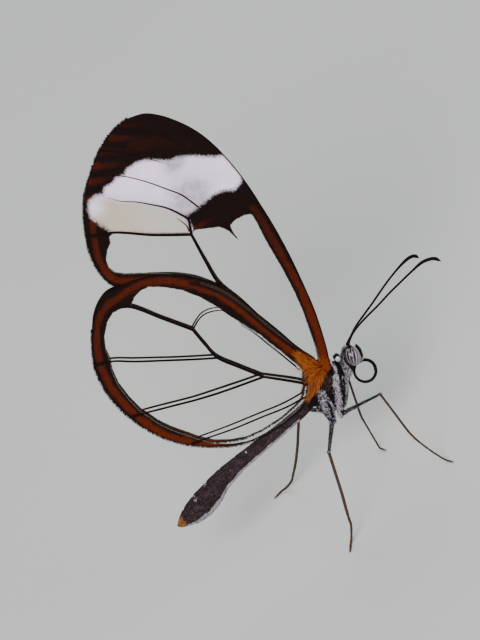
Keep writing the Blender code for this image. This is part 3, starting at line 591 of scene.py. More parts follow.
def close_rings(rings):
    """Points and faces of a skin over the rings, each end closed by a fan to its ring's middle."""
    rows, sides, _ = rings.shape
    points = np.vstack((rings.reshape(-1, 3), rings[:1].mean(axis=1), rings[-1:].mean(axis=1)))
    k = np.arange(sides)
    n = (k + 1) % sides
    last = (rows - 1) * sides
    start = np.stack((np.full(sides, rows * sides), n, k), axis=1)
    end = np.stack((np.full(sides, rows * sides + 1), last + k, last + n), axis=1)
    return points, [grid_faces(rows, sides, closed=True), start, end]


def tube(path, radii, sides, flat=1.0, up=(0.0, 0.0, 1.0)):
    """A closed tube along the path."""
    return close_rings(tube_rings(path, radii, sides, flat, up))


def joined(parts):
    """Several (points, faces) pairs as one."""
    points, quads, triangles, base = [], [], [], 0
    for spots, faces in parts:
        points.append(spots)
        for face in faces:
            (quads if face.shape[1] == 4 else triangles).append(face + base)
        base += len(spots)
    faces = [np.vstack(group) for group in (quads, triangles) if group]
    return np.vstack(points), faces


def ellipsoid(middle, half, rows, columns):
    """A closed ellipsoid: middle plus half sizes times the unit sphere's points."""
    lift = np.linspace(-0.5 * math.pi, 0.5 * math.pi, rows)[:, None]
    angle = np.linspace(0.0, 2.0 * math.pi, columns, endpoint=False)[None, :]
    ball = np.stack((np.cos(lift) * np.cos(angle), np.cos(lift) * np.sin(angle),
                     np.broadcast_to(np.sin(lift), (rows, columns))), axis=-1)
    ball = ball[1:-1]
    points, faces = close_rings(ball)
    points[-2:] /= np.linalg.norm(points[-2:], axis=1)[:, None]
    return np.array(middle) + np.array(half) * points, faces, points


def scatter(rings, count, draw, density=None):
    """Places scattered evenly by area over a skin of rings, with what a tuft there needs.

    Gives the places, the normals away from the ring's middle, the row direction, and (u, v) on the
    unwrap whose u runs along the rows and v round the ring. density weighs places by their x.
    """
    rows, sides, _ = rings.shape
    after = np.roll(rings, -1, axis=1)
    a, b, c, d = rings[:-1], after[:-1], after[1:], rings[1:]
    area = 0.5 * np.linalg.norm(np.cross(c - a, d - b), axis=-1)
    if density is not None:
        area = area * density(a)
    total = np.cumsum(area.reshape(-1))
    cell = np.searchsorted(total, draw.random(count) * total[-1])
    i, k = np.divmod(cell, sides)
    s, t = draw.random((2, count, 1))
    a, b, c, d = (corner.reshape(-1, 3)[cell] for corner in (a, b, c, d))
    place = (a * (1 - s) + b * s) * (1 - t) + (d * (1 - s) + c * s) * t
    way = (d + c) - (a + b)
    normal = np.cross(way, (b + c) - (a + d))
    normal /= np.linalg.norm(normal, axis=1)[:, None] + 1e-12
    middle = rings.mean(axis=1)[i]
    normal *= np.sign(np.einsum("ij,ij->i", normal, place - middle))[:, None]
    unwrap = np.column_stack(((i + t[:, 0]) / rows, (k + s[:, 0]) / sides))
    return place, normal, way, unwrap


def lay_flat(way, normal):
    """The part of each direction that lies in the surface, as a unit vector."""
    way = way - np.einsum("ij,ij->i", way, normal)[:, None] * normal
    return way / (np.linalg.norm(way, axis=1)[:, None] + 1e-12)


def tufts(place, normal, lie, length, width, lift):
    """Closed flattened spindles, ten triangles each, for hairs, scales and fringe.

    A tuft is a triangle sunk in at its root, a wider one nearly half way along and a tip point. Its
    middle rises from the surface by the lift angle, and its tip part by a share of it.
    """
    side = np.cross(normal, lie)
    length, width, lift = (np.broadcast_to(v, len(place))[:, None] for v in (length, width, lift))
    middle = place + TUFT_ROOT * length * (np.cos(lift) * lie + np.sin(lift) * normal)
    tip = middle + TUFT_TIP * length * (np.cos(TIP_LIFT * lift) * lie + np.sin(TIP_LIFT * lift) * normal)
    root = place - 0.3 * width * normal
    points = np.stack((root - 0.3 * width * side, root + 0.3 * width * side, root + 0.25 * width * normal,
                       middle - 0.5 * width * side, middle + 0.5 * width * side,
                       middle + 0.28 * width * normal, tip), axis=1)
    quads = np.array(((0, 3, 4, 1), (1, 4, 5, 2), (2, 5, 3, 0)))
    triangles = np.array(((0, 1, 2), (3, 6, 4), (4, 6, 5), (5, 6, 3)))
    base = np.arange(len(place))[:, None, None] * len(TUFT_PATCH)
    return points.reshape(-1, 3), [(quads + base).reshape(-1, 4), (triangles + base).reshape(-1, 3)]


def tuft_unwrap(unwrap):
    """A small patch for each tuft, at its root's place on the skin's unwrap."""
    return (unwrap[:, None, :] + PATCH_WIDTH * np.array(TUFT_PATCH)).reshape(-1, 2)


def tuft_shades(draw, count, dark_share):
    """How dark each tuft is: most are light with some spread, and a share of them nearly black."""
    return np.where(draw.random(count) < dark_share, BLACK_SHADE, LIGHT_SHADE * draw.random(count))


def coat_object(name, place, normal, lie, unwrap, length, width, lift, finish, values):
    """Tufts as one object, each value of a tuft the same at all its points."""
    points, faces = tufts(place, normal, lie, length, width, lift)
    values = {key: np.repeat(column, len(TUFT_PATCH)) for key, column in values.items()}
    return mesh_object(name, points, faces, finish, values=values, unwrap=tuft_unwrap(unwrap))


# Materials

def new_material(name):
    """A material with an empty Principled shader, and the tree it stands in."""
    made = bpy.data.materials.new(name)
    made.use_nodes = True
    tree = made.node_tree
    return made, tree, tree.nodes["Principled BSDF"]


def finish_once(name, make):
    """The material of that name, made the first time it is asked for."""
    made = bpy.data.materials.get(name)
    if made is None:
        made, tree, shader = new_material(name)
        make(tree, shader)
    return made


def feed(tree, socket, value):
    """Links an output to the socket, or sets the socket's value."""
    if isinstance(value, bpy.types.NodeSocket):
        tree.links.new(value, socket)
    else:
        socket.default_value = value


def add_node(tree, kind, **settings):
    """A node with its settings; a setting that names an input sets that input's value."""
    made = tree.nodes.new(kind)
    for key, value in settings.items():
        if hasattr(made, key):
            setattr(made, key, value)
        else:
            made.inputs[key.replace("_", " ")].default_value = value
    return made


def attribute(tree, name):
    """The named attribute of the mesh as a number."""
    return add_node(tree, "ShaderNodeAttribute", attribute_name=name).outputs["Fac"]


def mixed(tree, share, first, second):
    """A colour between first and second; each may be a colour or another node's output."""
    made = add_node(tree, "ShaderNodeMix", data_type="RGBA")
    for socket, value in ((made.inputs["Factor"], share), (made.inputs[6], first), (made.inputs[7], second)):
        feed(tree, socket, value)
    return made.outputs[2]


def reckon(tree, operation, first, second=0.0, clamp=False):
    """One step of arithmetic on numbers or outputs."""
    made = add_node(tree, "ShaderNodeMath", operation=operation, use_clamp=clamp)
    feed(tree, made.inputs[0], first)
    feed(tree, made.inputs[1], second)
    return made.outputs[0]


def noise(tree, size_mm, detail=3.0, place=None):
    """Noise with blots about size_mm across, on Object coordinates or on a place in millimetres."""
    scale = 1.0 / size_mm if place else 1.0 / (size_mm * MM)
    made = add_node(tree, "ShaderNodeTexNoise", Scale=scale, Detail=detail)
    place = place or add_node(tree, "ShaderNodeTexCoord").outputs["Object"]
    tree.links.new(place, made.inputs["Vector"])
    return made.outputs["Fac"]


def new_group(name, inputs, outputs):
    """An empty shader node group with its sockets, and its input and output nodes."""
    tree = bpy.data.node_groups.new(name, "ShaderNodeTree")
    for label, kind, default in inputs:
        socket = tree.interface.new_socket(label, in_out="INPUT", socket_type=kind)
        socket.default_value = default
    for label, kind in outputs:
        tree.interface.new_socket(label, in_out="OUTPUT", socket_type=kind)
    return tree, tree.nodes.new("NodeGroupInput"), tree.nodes.new("NodeGroupOutput")


def placed_group(tree, group, **values):
    """The group as a node, its inputs set or linked by name."""
    made = tree.nodes.new("ShaderNodeGroup")
    made.node_tree = group
    for key, value in values.items():
        feed(tree, made.inputs[key.replace("_", " ")], value)
    return made


def ragged_edge_group():
    """Turns a distance in millimetres into a mask whose edge is ragged like rows of scales.

    The mask is the smooth step of distance plus noise times the raggedness, over the softness.
    """
    made = bpy.data.node_groups.get("Ragged edge")
    if made:
        return made
    tree, given, out = new_group(
        "Ragged edge",
        (("Distance", "NodeSocketFloat", 0.0), ("Raggedness", "NodeSocketFloat", 0.2),
         ("Softness", "NodeSocketFloat", 0.1)), (("Mask", "NodeSocketFloat"),))
    rough = reckon(tree, "SUBTRACT", noise(tree, size_mm=0.16, detail=4.0), 0.5)
    shifted = reckon(tree, "ADD", given.outputs["Distance"],
                     reckon(tree, "MULTIPLY", rough, given.outputs["Raggedness"]))
    share = reckon(tree, "ADD", reckon(tree, "DIVIDE", shifted, given.outputs["Softness"]), 0.5, clamp=True)
    curve = add_node(tree, "ShaderNodeMapRange", interpolation_type="SMOOTHSTEP")
    tree.links.new(share, curve.inputs["Value"])
    tree.links.new(curve.outputs["Result"], out.inputs["Mask"])
    return tree


def marking(tree, distance, edge):
    """The mask of a marking: 1 inside it and 0 outside, with the ragged edge that the table names."""
    raggedness, softness = MARKING_EDGES[edge]
    made = placed_group(tree, ragged_edge_group(), Distance=distance, Raggedness=raggedness,
                        Softness=softness)
    return made.outputs["Mask"]


def cells(tree, size_mm):
    """Small cells about size_mm across, on Object coordinates."""
    made = add_node(tree, "ShaderNodeTexVoronoi", Scale=1.0 / (size_mm * MM))
    tree.links.new(add_node(tree, "ShaderNodeTexCoord").outputs["Object"], made.inputs["Vector"])
    return made


def scale_cover_group():
    """A cover of tiny scales: colour that varies from scale to scale, and a height for bump.

    Cells shift the colour between two tones; the height is the distance within a cell.
    """
    made = bpy.data.node_groups.get("Scale cover")
    if made:
        return made
    tree, given, out = new_group(
        "Scale cover",
        (("Colour", "NodeSocketColor", (0.1, 0.1, 0.1, 1.0)),
         ("Tone", "NodeSocketColor", (0.5, 0.5, 0.5, 1.0)), ("Variation", "NodeSocketFloat", 0.3)),
        (("Colour", "NodeSocketColor"), ("Height", "NodeSocketFloat")))
    scale = cells(tree, SCALE_WIDTH)
    tone = add_node(tree, "ShaderNodeSeparateColor")
    tree.links.new(scale.outputs["Color"], tone.inputs["Color"])
    share = reckon(tree, "MULTIPLY", tone.outputs["Red"], given.outputs["Variation"])
    tree.links.new(mixed(tree, share, given.outputs["Colour"], given.outputs["Tone"]), out.inputs["Colour"])
    tree.links.new(scale.outputs["Distance"], out.inputs["Height"])
    return tree


def covered(tree, name, variation):
    """A cover of scales in the colour of that name and its tone."""
    return placed_group(tree, scale_cover_group(), Colour=colour(name), Tone=colour(name + "_tone"),
                        Variation=variation)


def body_marking_group():
    """Colours of body and coat: dark scales, pale stripes and tan tip, from distances inside each."""
    made = bpy.data.node_groups.get("Body markings")
    if made:
        return made
    tree, given, out = new_group(
        "Body markings",
        (("Pale", "NodeSocketFloat", 0.0), ("Tan", "NodeSocketFloat", 0.0), ("Brown", "NodeSocketFloat", 0.0),
         ("Shade", "NodeSocketFloat", 0.0)), (("Colour", "NodeSocketColor"), ("Height", "NodeSocketFloat")))
    pale, tan, brown = (marking(tree, given.outputs[key], key) for key in ("Pale", "Tan", "Brown"))
    dark = covered(tree, "body", variation=0.7)
    blots = reckon(tree, "MULTIPLY", noise(tree, size_mm=0.7), 1.5, clamp=True)
    warm, light = covered(tree, "brown", blots), covered(tree, "stripe", variation=0.9)
    mix = mixed(tree, brown, dark.outputs["Colour"], warm.outputs["Colour"])
    mix = mixed(tree, pale, mix, light.outputs["Colour"])
    mix = mixed(tree, tan, mix, colour("tail"))
    mix = mixed(tree, given.outputs["Shade"], mix, colour("body"))
    tree.links.new(mix, out.inputs["Colour"])
    tree.links.new(dark.outputs["Height"], out.inputs["Height"])
    return tree


def bump(tree, shader, height, strength, depth_mm):
    """Feeds the height through a Bump node to the shader's normal."""
    made = add_node(tree, "ShaderNodeBump", Strength=strength, Distance=depth_mm * MM)
    tree.links.new(height, made.inputs["Height"])
    tree.links.new(made.outputs["Normal"], shader.inputs["Normal"])


def dull(shader, roughness, specular):
    """A surface with little shine."""
    shader.inputs["Roughness"].default_value = roughness
    shader.inputs["Specular IOR Level"].default_value = specular


def colour(name):
    """A user's colour, with full alpha."""
    return (*getattr(bpy.context.scene.glasswing_colours, name), 1.0)


def wing_nodes(tree, shader):
    """Clear membrane, dark scaled border, rust bands and milky patch, from the wing's attributes.

    Rust shows by its depth, plus streaks drawn out along the edge and blots, times its glow. The sheet is
    clear in the windows and partly clear where the white band or the bare strip is thinly scaled.
    """
    def uneven(grain, strength):
        """The grain about zero, times a strength."""
        return reckon(tree, "MULTIPLY", reckon(tree, "SUBTRACT", grain, 0.5), strength)

    window, milk, amber, bare = (marking(tree, attribute(tree, key), key)
                                 for key in ("window", "milk_edge", "amber", "bare"))
    course = add_node(tree, "ShaderNodeCombineXYZ")
    tree.links.new(reckon(tree, "MULTIPLY", attribute(tree, "along"), STREAK_STRETCH), course.inputs["X"])
    tree.links.new(attribute(tree, "edge"), course.inputs["Y"])
    streak = uneven(noise(tree, size_mm=0.22, place=course.outputs["Vector"]), STREAK_STRENGTH)
    blot = uneven(noise(tree, size_mm=0.2), BLOT_STRENGTH)
    depth = reckon(tree, "ADD", reckon(tree, "ADD", attribute(tree, "rust"), streak), blot)
    depth = reckon(tree, "MULTIPLY", depth, RUST_STRENGTH, clamp=True)
    share = reckon(tree, "MULTIPLY", depth, attribute(tree, "glow"))
    dark, warm = covered(tree, "border", variation=0.5), covered(tree, "rust", variation=0.6)
    # The bluish tone mixed into the white band by noise is a painted iridescent sheen; the pinkish white is
    # the band's own colour
    white = mixed(tree, noise(tree, size_mm=1.4, detail=2.0), colour("milk"), colour("milk_sheen"))
    smoky = reckon(tree, "MULTIPLY", attribute(tree, "smoke"), noise(tree, size_mm=0.5, detail=4.0))
    white = mixed(tree, smoky, white, colour("smoke"))
    white = mixed(tree, attribute(tree, "cream"), white, colour("cream"))
    bright = covered(tree, "amber", variation=0.5)
    blots = reckon(tree, "MULTIPLY", noise(tree, size_mm=0.6), AMBER_RUST, clamp=True)
    bright = mixed(tree, blots, bright.outputs["Colour"], warm.outputs["Colour"])
    scales = mixed(tree, share, dark.outputs["Colour"], warm.outputs["Colour"])
    scales = mixed(tree, bare, scales, colour("bare"))
    scales = mixed(tree, reckon(tree, "MULTIPLY", amber, AMBER_COVER), scales, bright)
    scales = mixed(tree, milk, scales, white)
    tree.links.new(mixed(tree, window, scales, colour("membrane")), shader.inputs["Base Color"])
    held = reckon(tree, "MULTIPLY", noise(tree, size_mm=0.12, detail=2.0),
                  2.0 * bpy.context.scene.glasswing_sizes.membrane_cover)
    clear = reckon(tree, "MULTIPLY", window, reckon(tree, "SUBTRACT", 1.0, held))
    veil = reckon(tree, "MULTIPLY", milk, attribute(tree, "veil"))
    veil = reckon(tree, "MAXIMUM", veil, reckon(tree, "MULTIPLY", bare, BARE_VEIL))
    seen = reckon(tree, "SUBTRACT", 1.0, reckon(tree, "MAXIMUM", clear, veil), clamp=True)
    tree.links.new(seen, shader.inputs["Alpha"])
    gloss = reckon(tree, "SUBTRACT", SCALE_ROUGHNESS, reckon(tree, "MULTIPLY", window, WINDOW_SMOOTHNESS))
    tree.links.new(gloss, shader.inputs["Roughness"])
    shader.inputs["Specular IOR Level"].default_value = 0.08
    bump(tree, shader, dark.outputs["Height"], strength=0.3, depth_mm=0.02)


def vein_nodes(tree, shader):
    """Dark brown veins, warmer towards the root."""
    tone = mixed(tree, noise(tree, size_mm=0.5, detail=2.0), colour("vein"), colour("border"))
    tree.links.new(mixed(tree, attribute(tree, "amber"), tone, colour("rust")), shader.inputs["Base Color"])
    dull(shader, roughness=0.6, specular=0.05)
    bump(tree, shader, noise(tree, size_mm=0.08, detail=2.0), strength=0.2, depth_mm=0.02)


def body_colours(tree, shader):
    """The markings' colours, fed to the shader; gives the node that makes them."""
    marks = placed_group(tree, body_marking_group(), **{key.capitalize(): attribute(tree, key)
                                                        for key in ("pale", "tan", "brown", "shade")})
    tree.links.new(marks.outputs["Colour"], shader.inputs["Base Color"])
    return marks


def body_nodes(tree, shader):
    """The skin's colours and a bump of small scales."""
    marks = body_colours(tree, shader)
    dull(shader, roughness=0.7, specular=0.1)
    bump(tree, shader, marks.outputs["Height"], strength=0.5, depth_mm=0.04)


def coat_nodes(tree, shader):
    """The coat's colours: the skin's markings, each tuft a shade of its own."""
    body_colours(tree, shader)
    dull(shader, roughness=0.6, specular=0.1)


def two_tone_nodes(first, second, grain=0.25, roughness=0.5, specular=0.2):
    """Plain cuticle or hair in two tones with a fine grain."""
    def make(tree, shader):
        tone = mixed(tree, noise(tree, size_mm=grain), colour(first), colour(second))
        tree.links.new(tone, shader.inputs["Base Color"])
        dull(shader, roughness, specular)
        bump(tree, shader, noise(tree, size_mm=0.05, detail=2.0), strength=0.3, depth_mm=0.015)
    return make


def leg_nodes(tree, shader):
    """Leg scales: black with pale speckles near the body, brown further out."""
    speckle = placed_group(tree, scale_cover_group(), Colour=colour("body"), Tone=colour("stripe"),
                           Variation=0.03)
    brown = mixed(tree, noise(tree, size_mm=0.4), colour("leg"), colour("leg_tone"))
    tree.links.new(mixed(tree, attribute(tree, "outer"), speckle.outputs["Colour"], brown),
                   shader.inputs["Base Color"])
    dull(shader, roughness=0.55, specular=0.1)
    bump(tree, shader, speckle.outputs["Height"], strength=0.4, depth_mm=0.03)


def eye_nodes(tree, shader):
    """Silvery eye with dark curved stripes that meet at its lower end, over fine facets."""
    stripe = marking(tree, attribute(tree, "stripe"), "stripe")
    ground = mixed(tree, noise(tree, size_mm=0.5, detail=2.0), colour("eye"), colour("eye_tone"))
    ground = mixed(tree, attribute(tree, "front"), ground, colour("eye_front"))
    tree.links.new(mixed(tree, stripe, ground, colour("eye_stripe")), shader.inputs["Base Color"])
    dull(shader, roughness=0.3, specular=0.4)
    shader.inputs["Coat Weight"].default_value = 0.3
    shader.inputs["Coat Roughness"].default_value = 0.15
    bump(tree, shader, cells(tree, FACET_WIDTH).outputs["Distance"], strength=0.25, depth_mm=0.01)


# Shapes

def wing_curves(kind, rows):
    """A wing's leading and rear edges in side view, each with the same number of points."""
    return smooth_curve(WINGS[kind]["lead"], rows), smooth_curve(WINGS[kind]["rear"], rows)


def wing_face(sign, points, kind):
    """The y of a wing's middle surface: a gentle wave, further out over the forewing and at the root.

    At the root the sheet leaves the plane of the closed wings and follows the flank outwards; the
    two depths meet in a smooth maximum.
    """
    x, z = points[..., 0], points[..., 1]
    wave = sum(height * np.sin(turn_x * x + turn_z * z) for height, turn_x, turn_z in WING_WAVES)
    closing, *heights = TIP_CLOSING
    spacing = bpy.context.scene.glasswing_sizes.wing_spacing / MM
    depth = spacing / 2.0 + wave - closing * blend_step(*heights, z)
    (middle_x, middle_z), (half_x, half_z), near, bulge = FLANK_ELLIPSE
    inside = 1.0 - ((z - middle_z) / half_z) ** 2 - ((x - middle_x) / half_x) ** 2
    flank = near + bulge * np.sqrt(np.clip(inside, 0.0, 1.0))
    if kind == "hindwing":
        overlap, *reach, root = HINDWING_OVERLAP
        gap, _ = line_distance(points.reshape(-1, 2), smooth_curve(HINDWING_LEAD, samples=60))
        depth = depth + overlap * (1.0 - blend_step(*reach, gap)).reshape(x.shape)
        flank = flank + root
    depth = np.log(np.exp(DEPTH_SHARPNESS * depth) + np.exp(DEPTH_SHARPNESS * flank) - 1.0) / DEPTH_SHARPNESS
    return sign * depth


def on_wing(kind, sign, flat):
    """Places on a wing's middle surface; the left wings lie a little nearer to the root than the right."""
    x, z = flat[..., 0], flat[..., 1]
    if sign > 0.0 and kind == "forewing":
        z = z - FAR_WING_DROP
        rise, fall = FAR_WING_BEND_HEIGHTS
        x = x + FAR_WING_BEND * blend_step(*rise, z) * (1.0 - blend_step(*fall, z))
    share = 1.0 - (FAR_WING_DRAW[kind] if sign > 0.0 else 0.0)
    return np.stack((WING_ROOT[0] + share * (x - WING_ROOT[0]), wing_face(sign, flat, kind),
                     WING_ROOT[1] + share * (z - WING_ROOT[1])), axis=-1)


def bell(points, middle, radius, squeeze=(1.0, 1.0)):
    """A soft round spot: e to the minus squared distance from its middle over its radius."""
    return np.exp(-(np.linalg.norm((points - middle) * squeeze, axis=1) / radius) ** 2)


def milk_marks(points):
    """The white band: its edge, how see-through, how cream and how smoky it is.

    The signed distance to the dividing vein parts it into a dense front part and a thin cream rear part,
    but for a dense lobe at its far end; smoky spots thin it.
    """
    line = smooth_curve(MILK_DIVIDE, samples=40)
    gap, _ = line_distance(points, line)
    past = gap * np.sign((points[:, 0] - np.interp(points[:, 1], line[:, 1], line[:, 0])))
    lobe = bell(points, *MILK_LOBE)
    smoky = sum(strength * bell(points, middle, radius, squeeze)
                for middle, squeeze, radius, strength in MILK_SMOKE)
    dense = blend_step(*MILK_DENSE, past) * (1.0 - MILK_VEIL["smoky"] * smoky)
    veil = MILK_VEIL["thinnest"] - MILK_VEIL["denser"] * np.clip(dense + lobe, 0.0, 1.0)
    veil += MILK_VEIL["cream"] * (1.0 - blend_step(*MILK_THIN, past)) * blend_step(*MILK_THIN_X, points[:, 0])
    return {"milk_edge": signed_distance(points, np.array(FOREWING_MILK)), "veil": veil,
            "cream": np.clip(1.0 - blend_step(*MILK_CREAM, past) - lobe, 0.0, 1.0),
            "smoke": np.clip(SMOKE_STRENGTH * smoky, 0.0, 1.0)}


def wing_marks(kind, points):
    """The wing's pattern as distances in millimetres, one array for each marking.

    A rust band's depth is one minus the distance to its course over its half width there. Its glow is
    its strength there, and less beside a vein.
    """
    wing = WINGS[kind]
    absent, nought = np.full(len(points), OUTSIDE), np.zeros(len(points))
    rust, glow = absent.copy(), nought.copy()
    for course, halves, strengths in wing["rust"]:
        gap, along = line_distance(points, smooth_curve(course, 8 * len(course)))
        depth = 1.0 - gap / (halves[0] + (halves[1] - halves[0]) * along)
        nearer = depth > rust
        rust[nearer] = depth[nearer]
        glow[nearer] = (strengths[0] + (strengths[1] - strengths[0]) * along)[nearer]
    least, rest, *reach = VEIN_SHADE
    for course, _, _ in wing["veins"]:
        gap, _ = line_distance(points, smooth_curve(course, 6 * len(course)))
        glow *= least + rest * blend_step(*reach, gap)
    lead, rear = wing_curves(kind, rows=200)
    edge, along = line_distance(points, np.vstack((lead, rear[::-1])))
    marks = {
        "window": signed_distance(points, np.array(wing["window"])),
        "rust": rust, "glow": glow, "edge": edge, "along": EDGE_LENGTH * along,
        "amber": signed_distance(points, np.array(ROOT_PATCH)),
        "bare": signed_distance(points, np.array(BARE_STRIP)) if kind == "hindwing" else absent,
        "milk_edge": absent, "veil": nought, "cream": nought, "smoke": nought,
    }
    if kind == "forewing":
        marks.update(milk_marks(points))
    return marks


def build_wing(kind, side, sign):
    """One wing: a thin closed sheet, its two faces half a thickness to each side of the middle.

    In side view each chord runs straight from the leading edge to the rear edge.
    """
    rows, columns = GRIDS[kind]
    lead, rear = wing_curves(kind, rows)
    across = np.linspace(0.0, 1.0, columns)[None, :, None]
    flat = lead[:, None, :] * (1.0 - across) + rear[:, None, :] * across
    middle = on_wing(kind, sign, flat).reshape(-1, 3)
    half = 0.5 * bpy.context.scene.glasswing_sizes.membrane_thickness / MM
    faces = [middle + (0.0, way * half, 0.0) for way in (1.0, -1.0)]
    count = rows * columns
    rim = np.concatenate((np.arange(columns), np.arange(2, rows) * columns - 1,
                          count - 1 - np.arange(columns), np.arange(rows - 2, 0, -1) * columns))
    after = np.roll(rim, -1)
    strip = np.stack((rim, rim + count, after + count, after), axis=1)
    marks = wing_marks(kind, flat.reshape(-1, 2))
    values = {key: np.tile(column, 2) for key, column in marks.items()}
    mesh_object(f"{kind}_{side}_sheet", np.vstack(faces),
                [grid_faces(rows, columns), grid_faces(rows, columns, start=count, flip=True), strip],
                finish_once("wing_scales_and_membrane", wing_nodes),
                (f"{kind}_{side}",), values)


def build_veins(kind, side, sign):
    """The veins of a wing as tapering tubes on its middle surface, with its thickened edges."""
    lead, rear = wing_curves(kind, rows=24)
    courses = [*WINGS[kind]["veins"], (lead, *COSTA_RADIUS[kind]), (rear, 0.5 * MARGIN_RADIUS, MARGIN_RADIUS)]
    parts, amber = [], []
    for course, first, last in courses:
        flat = smooth_curve(course, 10 * len(course))
        path = on_wing(kind, sign, flat)
        parts.append(tube(path, np.linspace(first, last, len(path)), sides=8, up=(0.0, 1.0, 0.0)))
        depth = signed_distance(parts[-1][0][:, [0, 2]], np.array(ROOT_PATCH))
        amber.append(blend_step(*VEIN_AMBER, depth))
    points, faces = joined(parts)
    mesh_object(f"{kind}_{side}_veins", points, faces, finish_once("vein_cuticle", vein_nodes),
                values={"amber": np.concatenate(amber)})


def build_fringe(kind, side, sign, draw):
    """A fringe of short scales along the outer and rear margins, pointing away from the wing."""
    lead, rear = wing_curves(kind, FRINGE["rows"])
    count = FRINGE["count"]
    spot = draw.uniform(FRINGE["first"][kind], len(rear) - 1.001, count)
    i = spot.astype(int)
    flat = rear[i] + (spot - i)[:, None] * (rear[i + 1] - rear[i])
    way = rear[i + 1] - rear[i]
    middle = 0.5 * (lead.mean(axis=0) + rear.mean(axis=0))
    out = np.column_stack((way[:, 1], -way[:, 0]))
    out *= np.sign(np.einsum("ij,ij->i", out, flat - middle))[:, None]
    out /= np.linalg.norm(out, axis=1)[:, None]
    lean = draw.normal(0.0, FRINGE["lean"], count)
    along = way / np.linalg.norm(way, axis=1)[:, None]
    lie = out + lean[:, None] * along
    lie = np.column_stack((lie[:, 0], draw.normal(0.0, FRINGE["spread"], count), lie[:, 1]))
    lie /= np.linalg.norm(lie, axis=1)[:, None]
    place = on_wing(kind, sign, flat)
    normal = lay_flat(np.tile((0.0, sign, 0.0), (count, 1)), lie)
    length = draw.uniform(*FRINGE["length"], count)
    unwrap = np.column_stack((spot / len(rear), np.full(count, 0.5)))
    finish = finish_once("fringe_scales", two_tone_nodes("border", "border_tone", grain=0.4))
    coat_object(f"{kind}_{side}_fringe", place, normal, lie, unwrap, length, FRINGE["width"], 0.0, finish,
                {})


def build_root_hairs(side, sign, draw):
    """Fine amber hairs that fan out from the hinge over the amber patch of the hindwing.

    Each root is a place in the patch, and each hair points away from the hinge along the wing.
    """
    patch = np.array(ROOT_PATCH)
    flat = patch.min(axis=0) + draw.random((ROOT_HAIRS["tries"], 2)) * np.ptp(patch, axis=0)
    lead, rear = wing_curves("hindwing", rows=60)
    keep = signed_distance(flat, patch) > ROOT_HAIRS["inside_patch"]
    keep &= signed_distance(flat, np.vstack((lead, rear[::-1]))) > ROOT_HAIRS["inside_wing"]
    keep &= np.linalg.norm(flat - ROOT_HAIRS["middle"], axis=1) < ROOT_HAIRS["reach"]
    flat = flat[keep][:ROOT_HAIRS["count"]]
    way = flat - ROOT_HINGE + draw.normal(0.0, ROOT_HAIRS["spread"], flat.shape)
    way /= np.linalg.norm(way, axis=1)[:, None]
    step = ROOT_HAIRS["step"]
    base, ahead, along_x, along_z = (on_wing("hindwing", sign, flat + offset)
                                     for offset in (np.zeros(2), step * way, (step, 0.0), (0.0, step)))
    along_x, along_z = along_x - base, along_z - base
    normal = np.cross(along_x, along_z)
    normal *= sign * np.sign(normal[:, 1:2])
    normal /= np.linalg.norm(normal, axis=1)[:, None]
    lie = lay_flat(ahead - base, normal)
    length, width, lift = (draw.uniform(*ROOT_HAIRS[key], len(flat)) for key in ("length", "width", "lift"))
    unwrap = (flat - ROOT_HAIRS["unwrap_corner"]) / ROOT_HAIRS["unwrap_size"]
    hair = two_tone_nodes("amber_tone", "hair", grain=0.2, roughness=0.4, specular=0.3)
    coat_object(f"wing_root_hairs_{side}", base + ROOT_HAIRS["height"] * normal, normal, lie, unwrap, length,
                width, lift, finish_once("root_hair", hair), {})


def body_rings():
    """The body's skin: upright ellipses from the tip of the abdomen to the brow.

    The stations give underside, back and half width. At each segment edge a narrow bell is pressed in
    and a wider one ahead of it stands out.
    """
    rows, columns = GRIDS["body"]
    x, low, high, wide = smooth_curve(BODY_STATIONS, rows).T
    groove = np.zeros(rows)
    for edge in SEGMENT_EDGES:
        groove += sum(depth * np.exp(-((x - edge - ahead) / half) ** 2)
                      for depth, ahead, half in SEGMENT_PROFILE)
    tall = np.maximum(0.5 * (high - low) * (1.0 - GROOVE_DEPTH * groove), THINNEST)
    wide = np.maximum(wide * (1.0 - GROOVE_DEPTH * groove), THINNEST)
    angle = np.linspace(0.0, 2.0 * math.pi, columns, endpoint=False)
    return np.stack((np.broadcast_to(x[:, None], (rows, columns)), wide[:, None] * np.cos(angle),
                     0.5 * (high + low)[:, None] + tall[:, None] * np.sin(angle)), axis=-1)


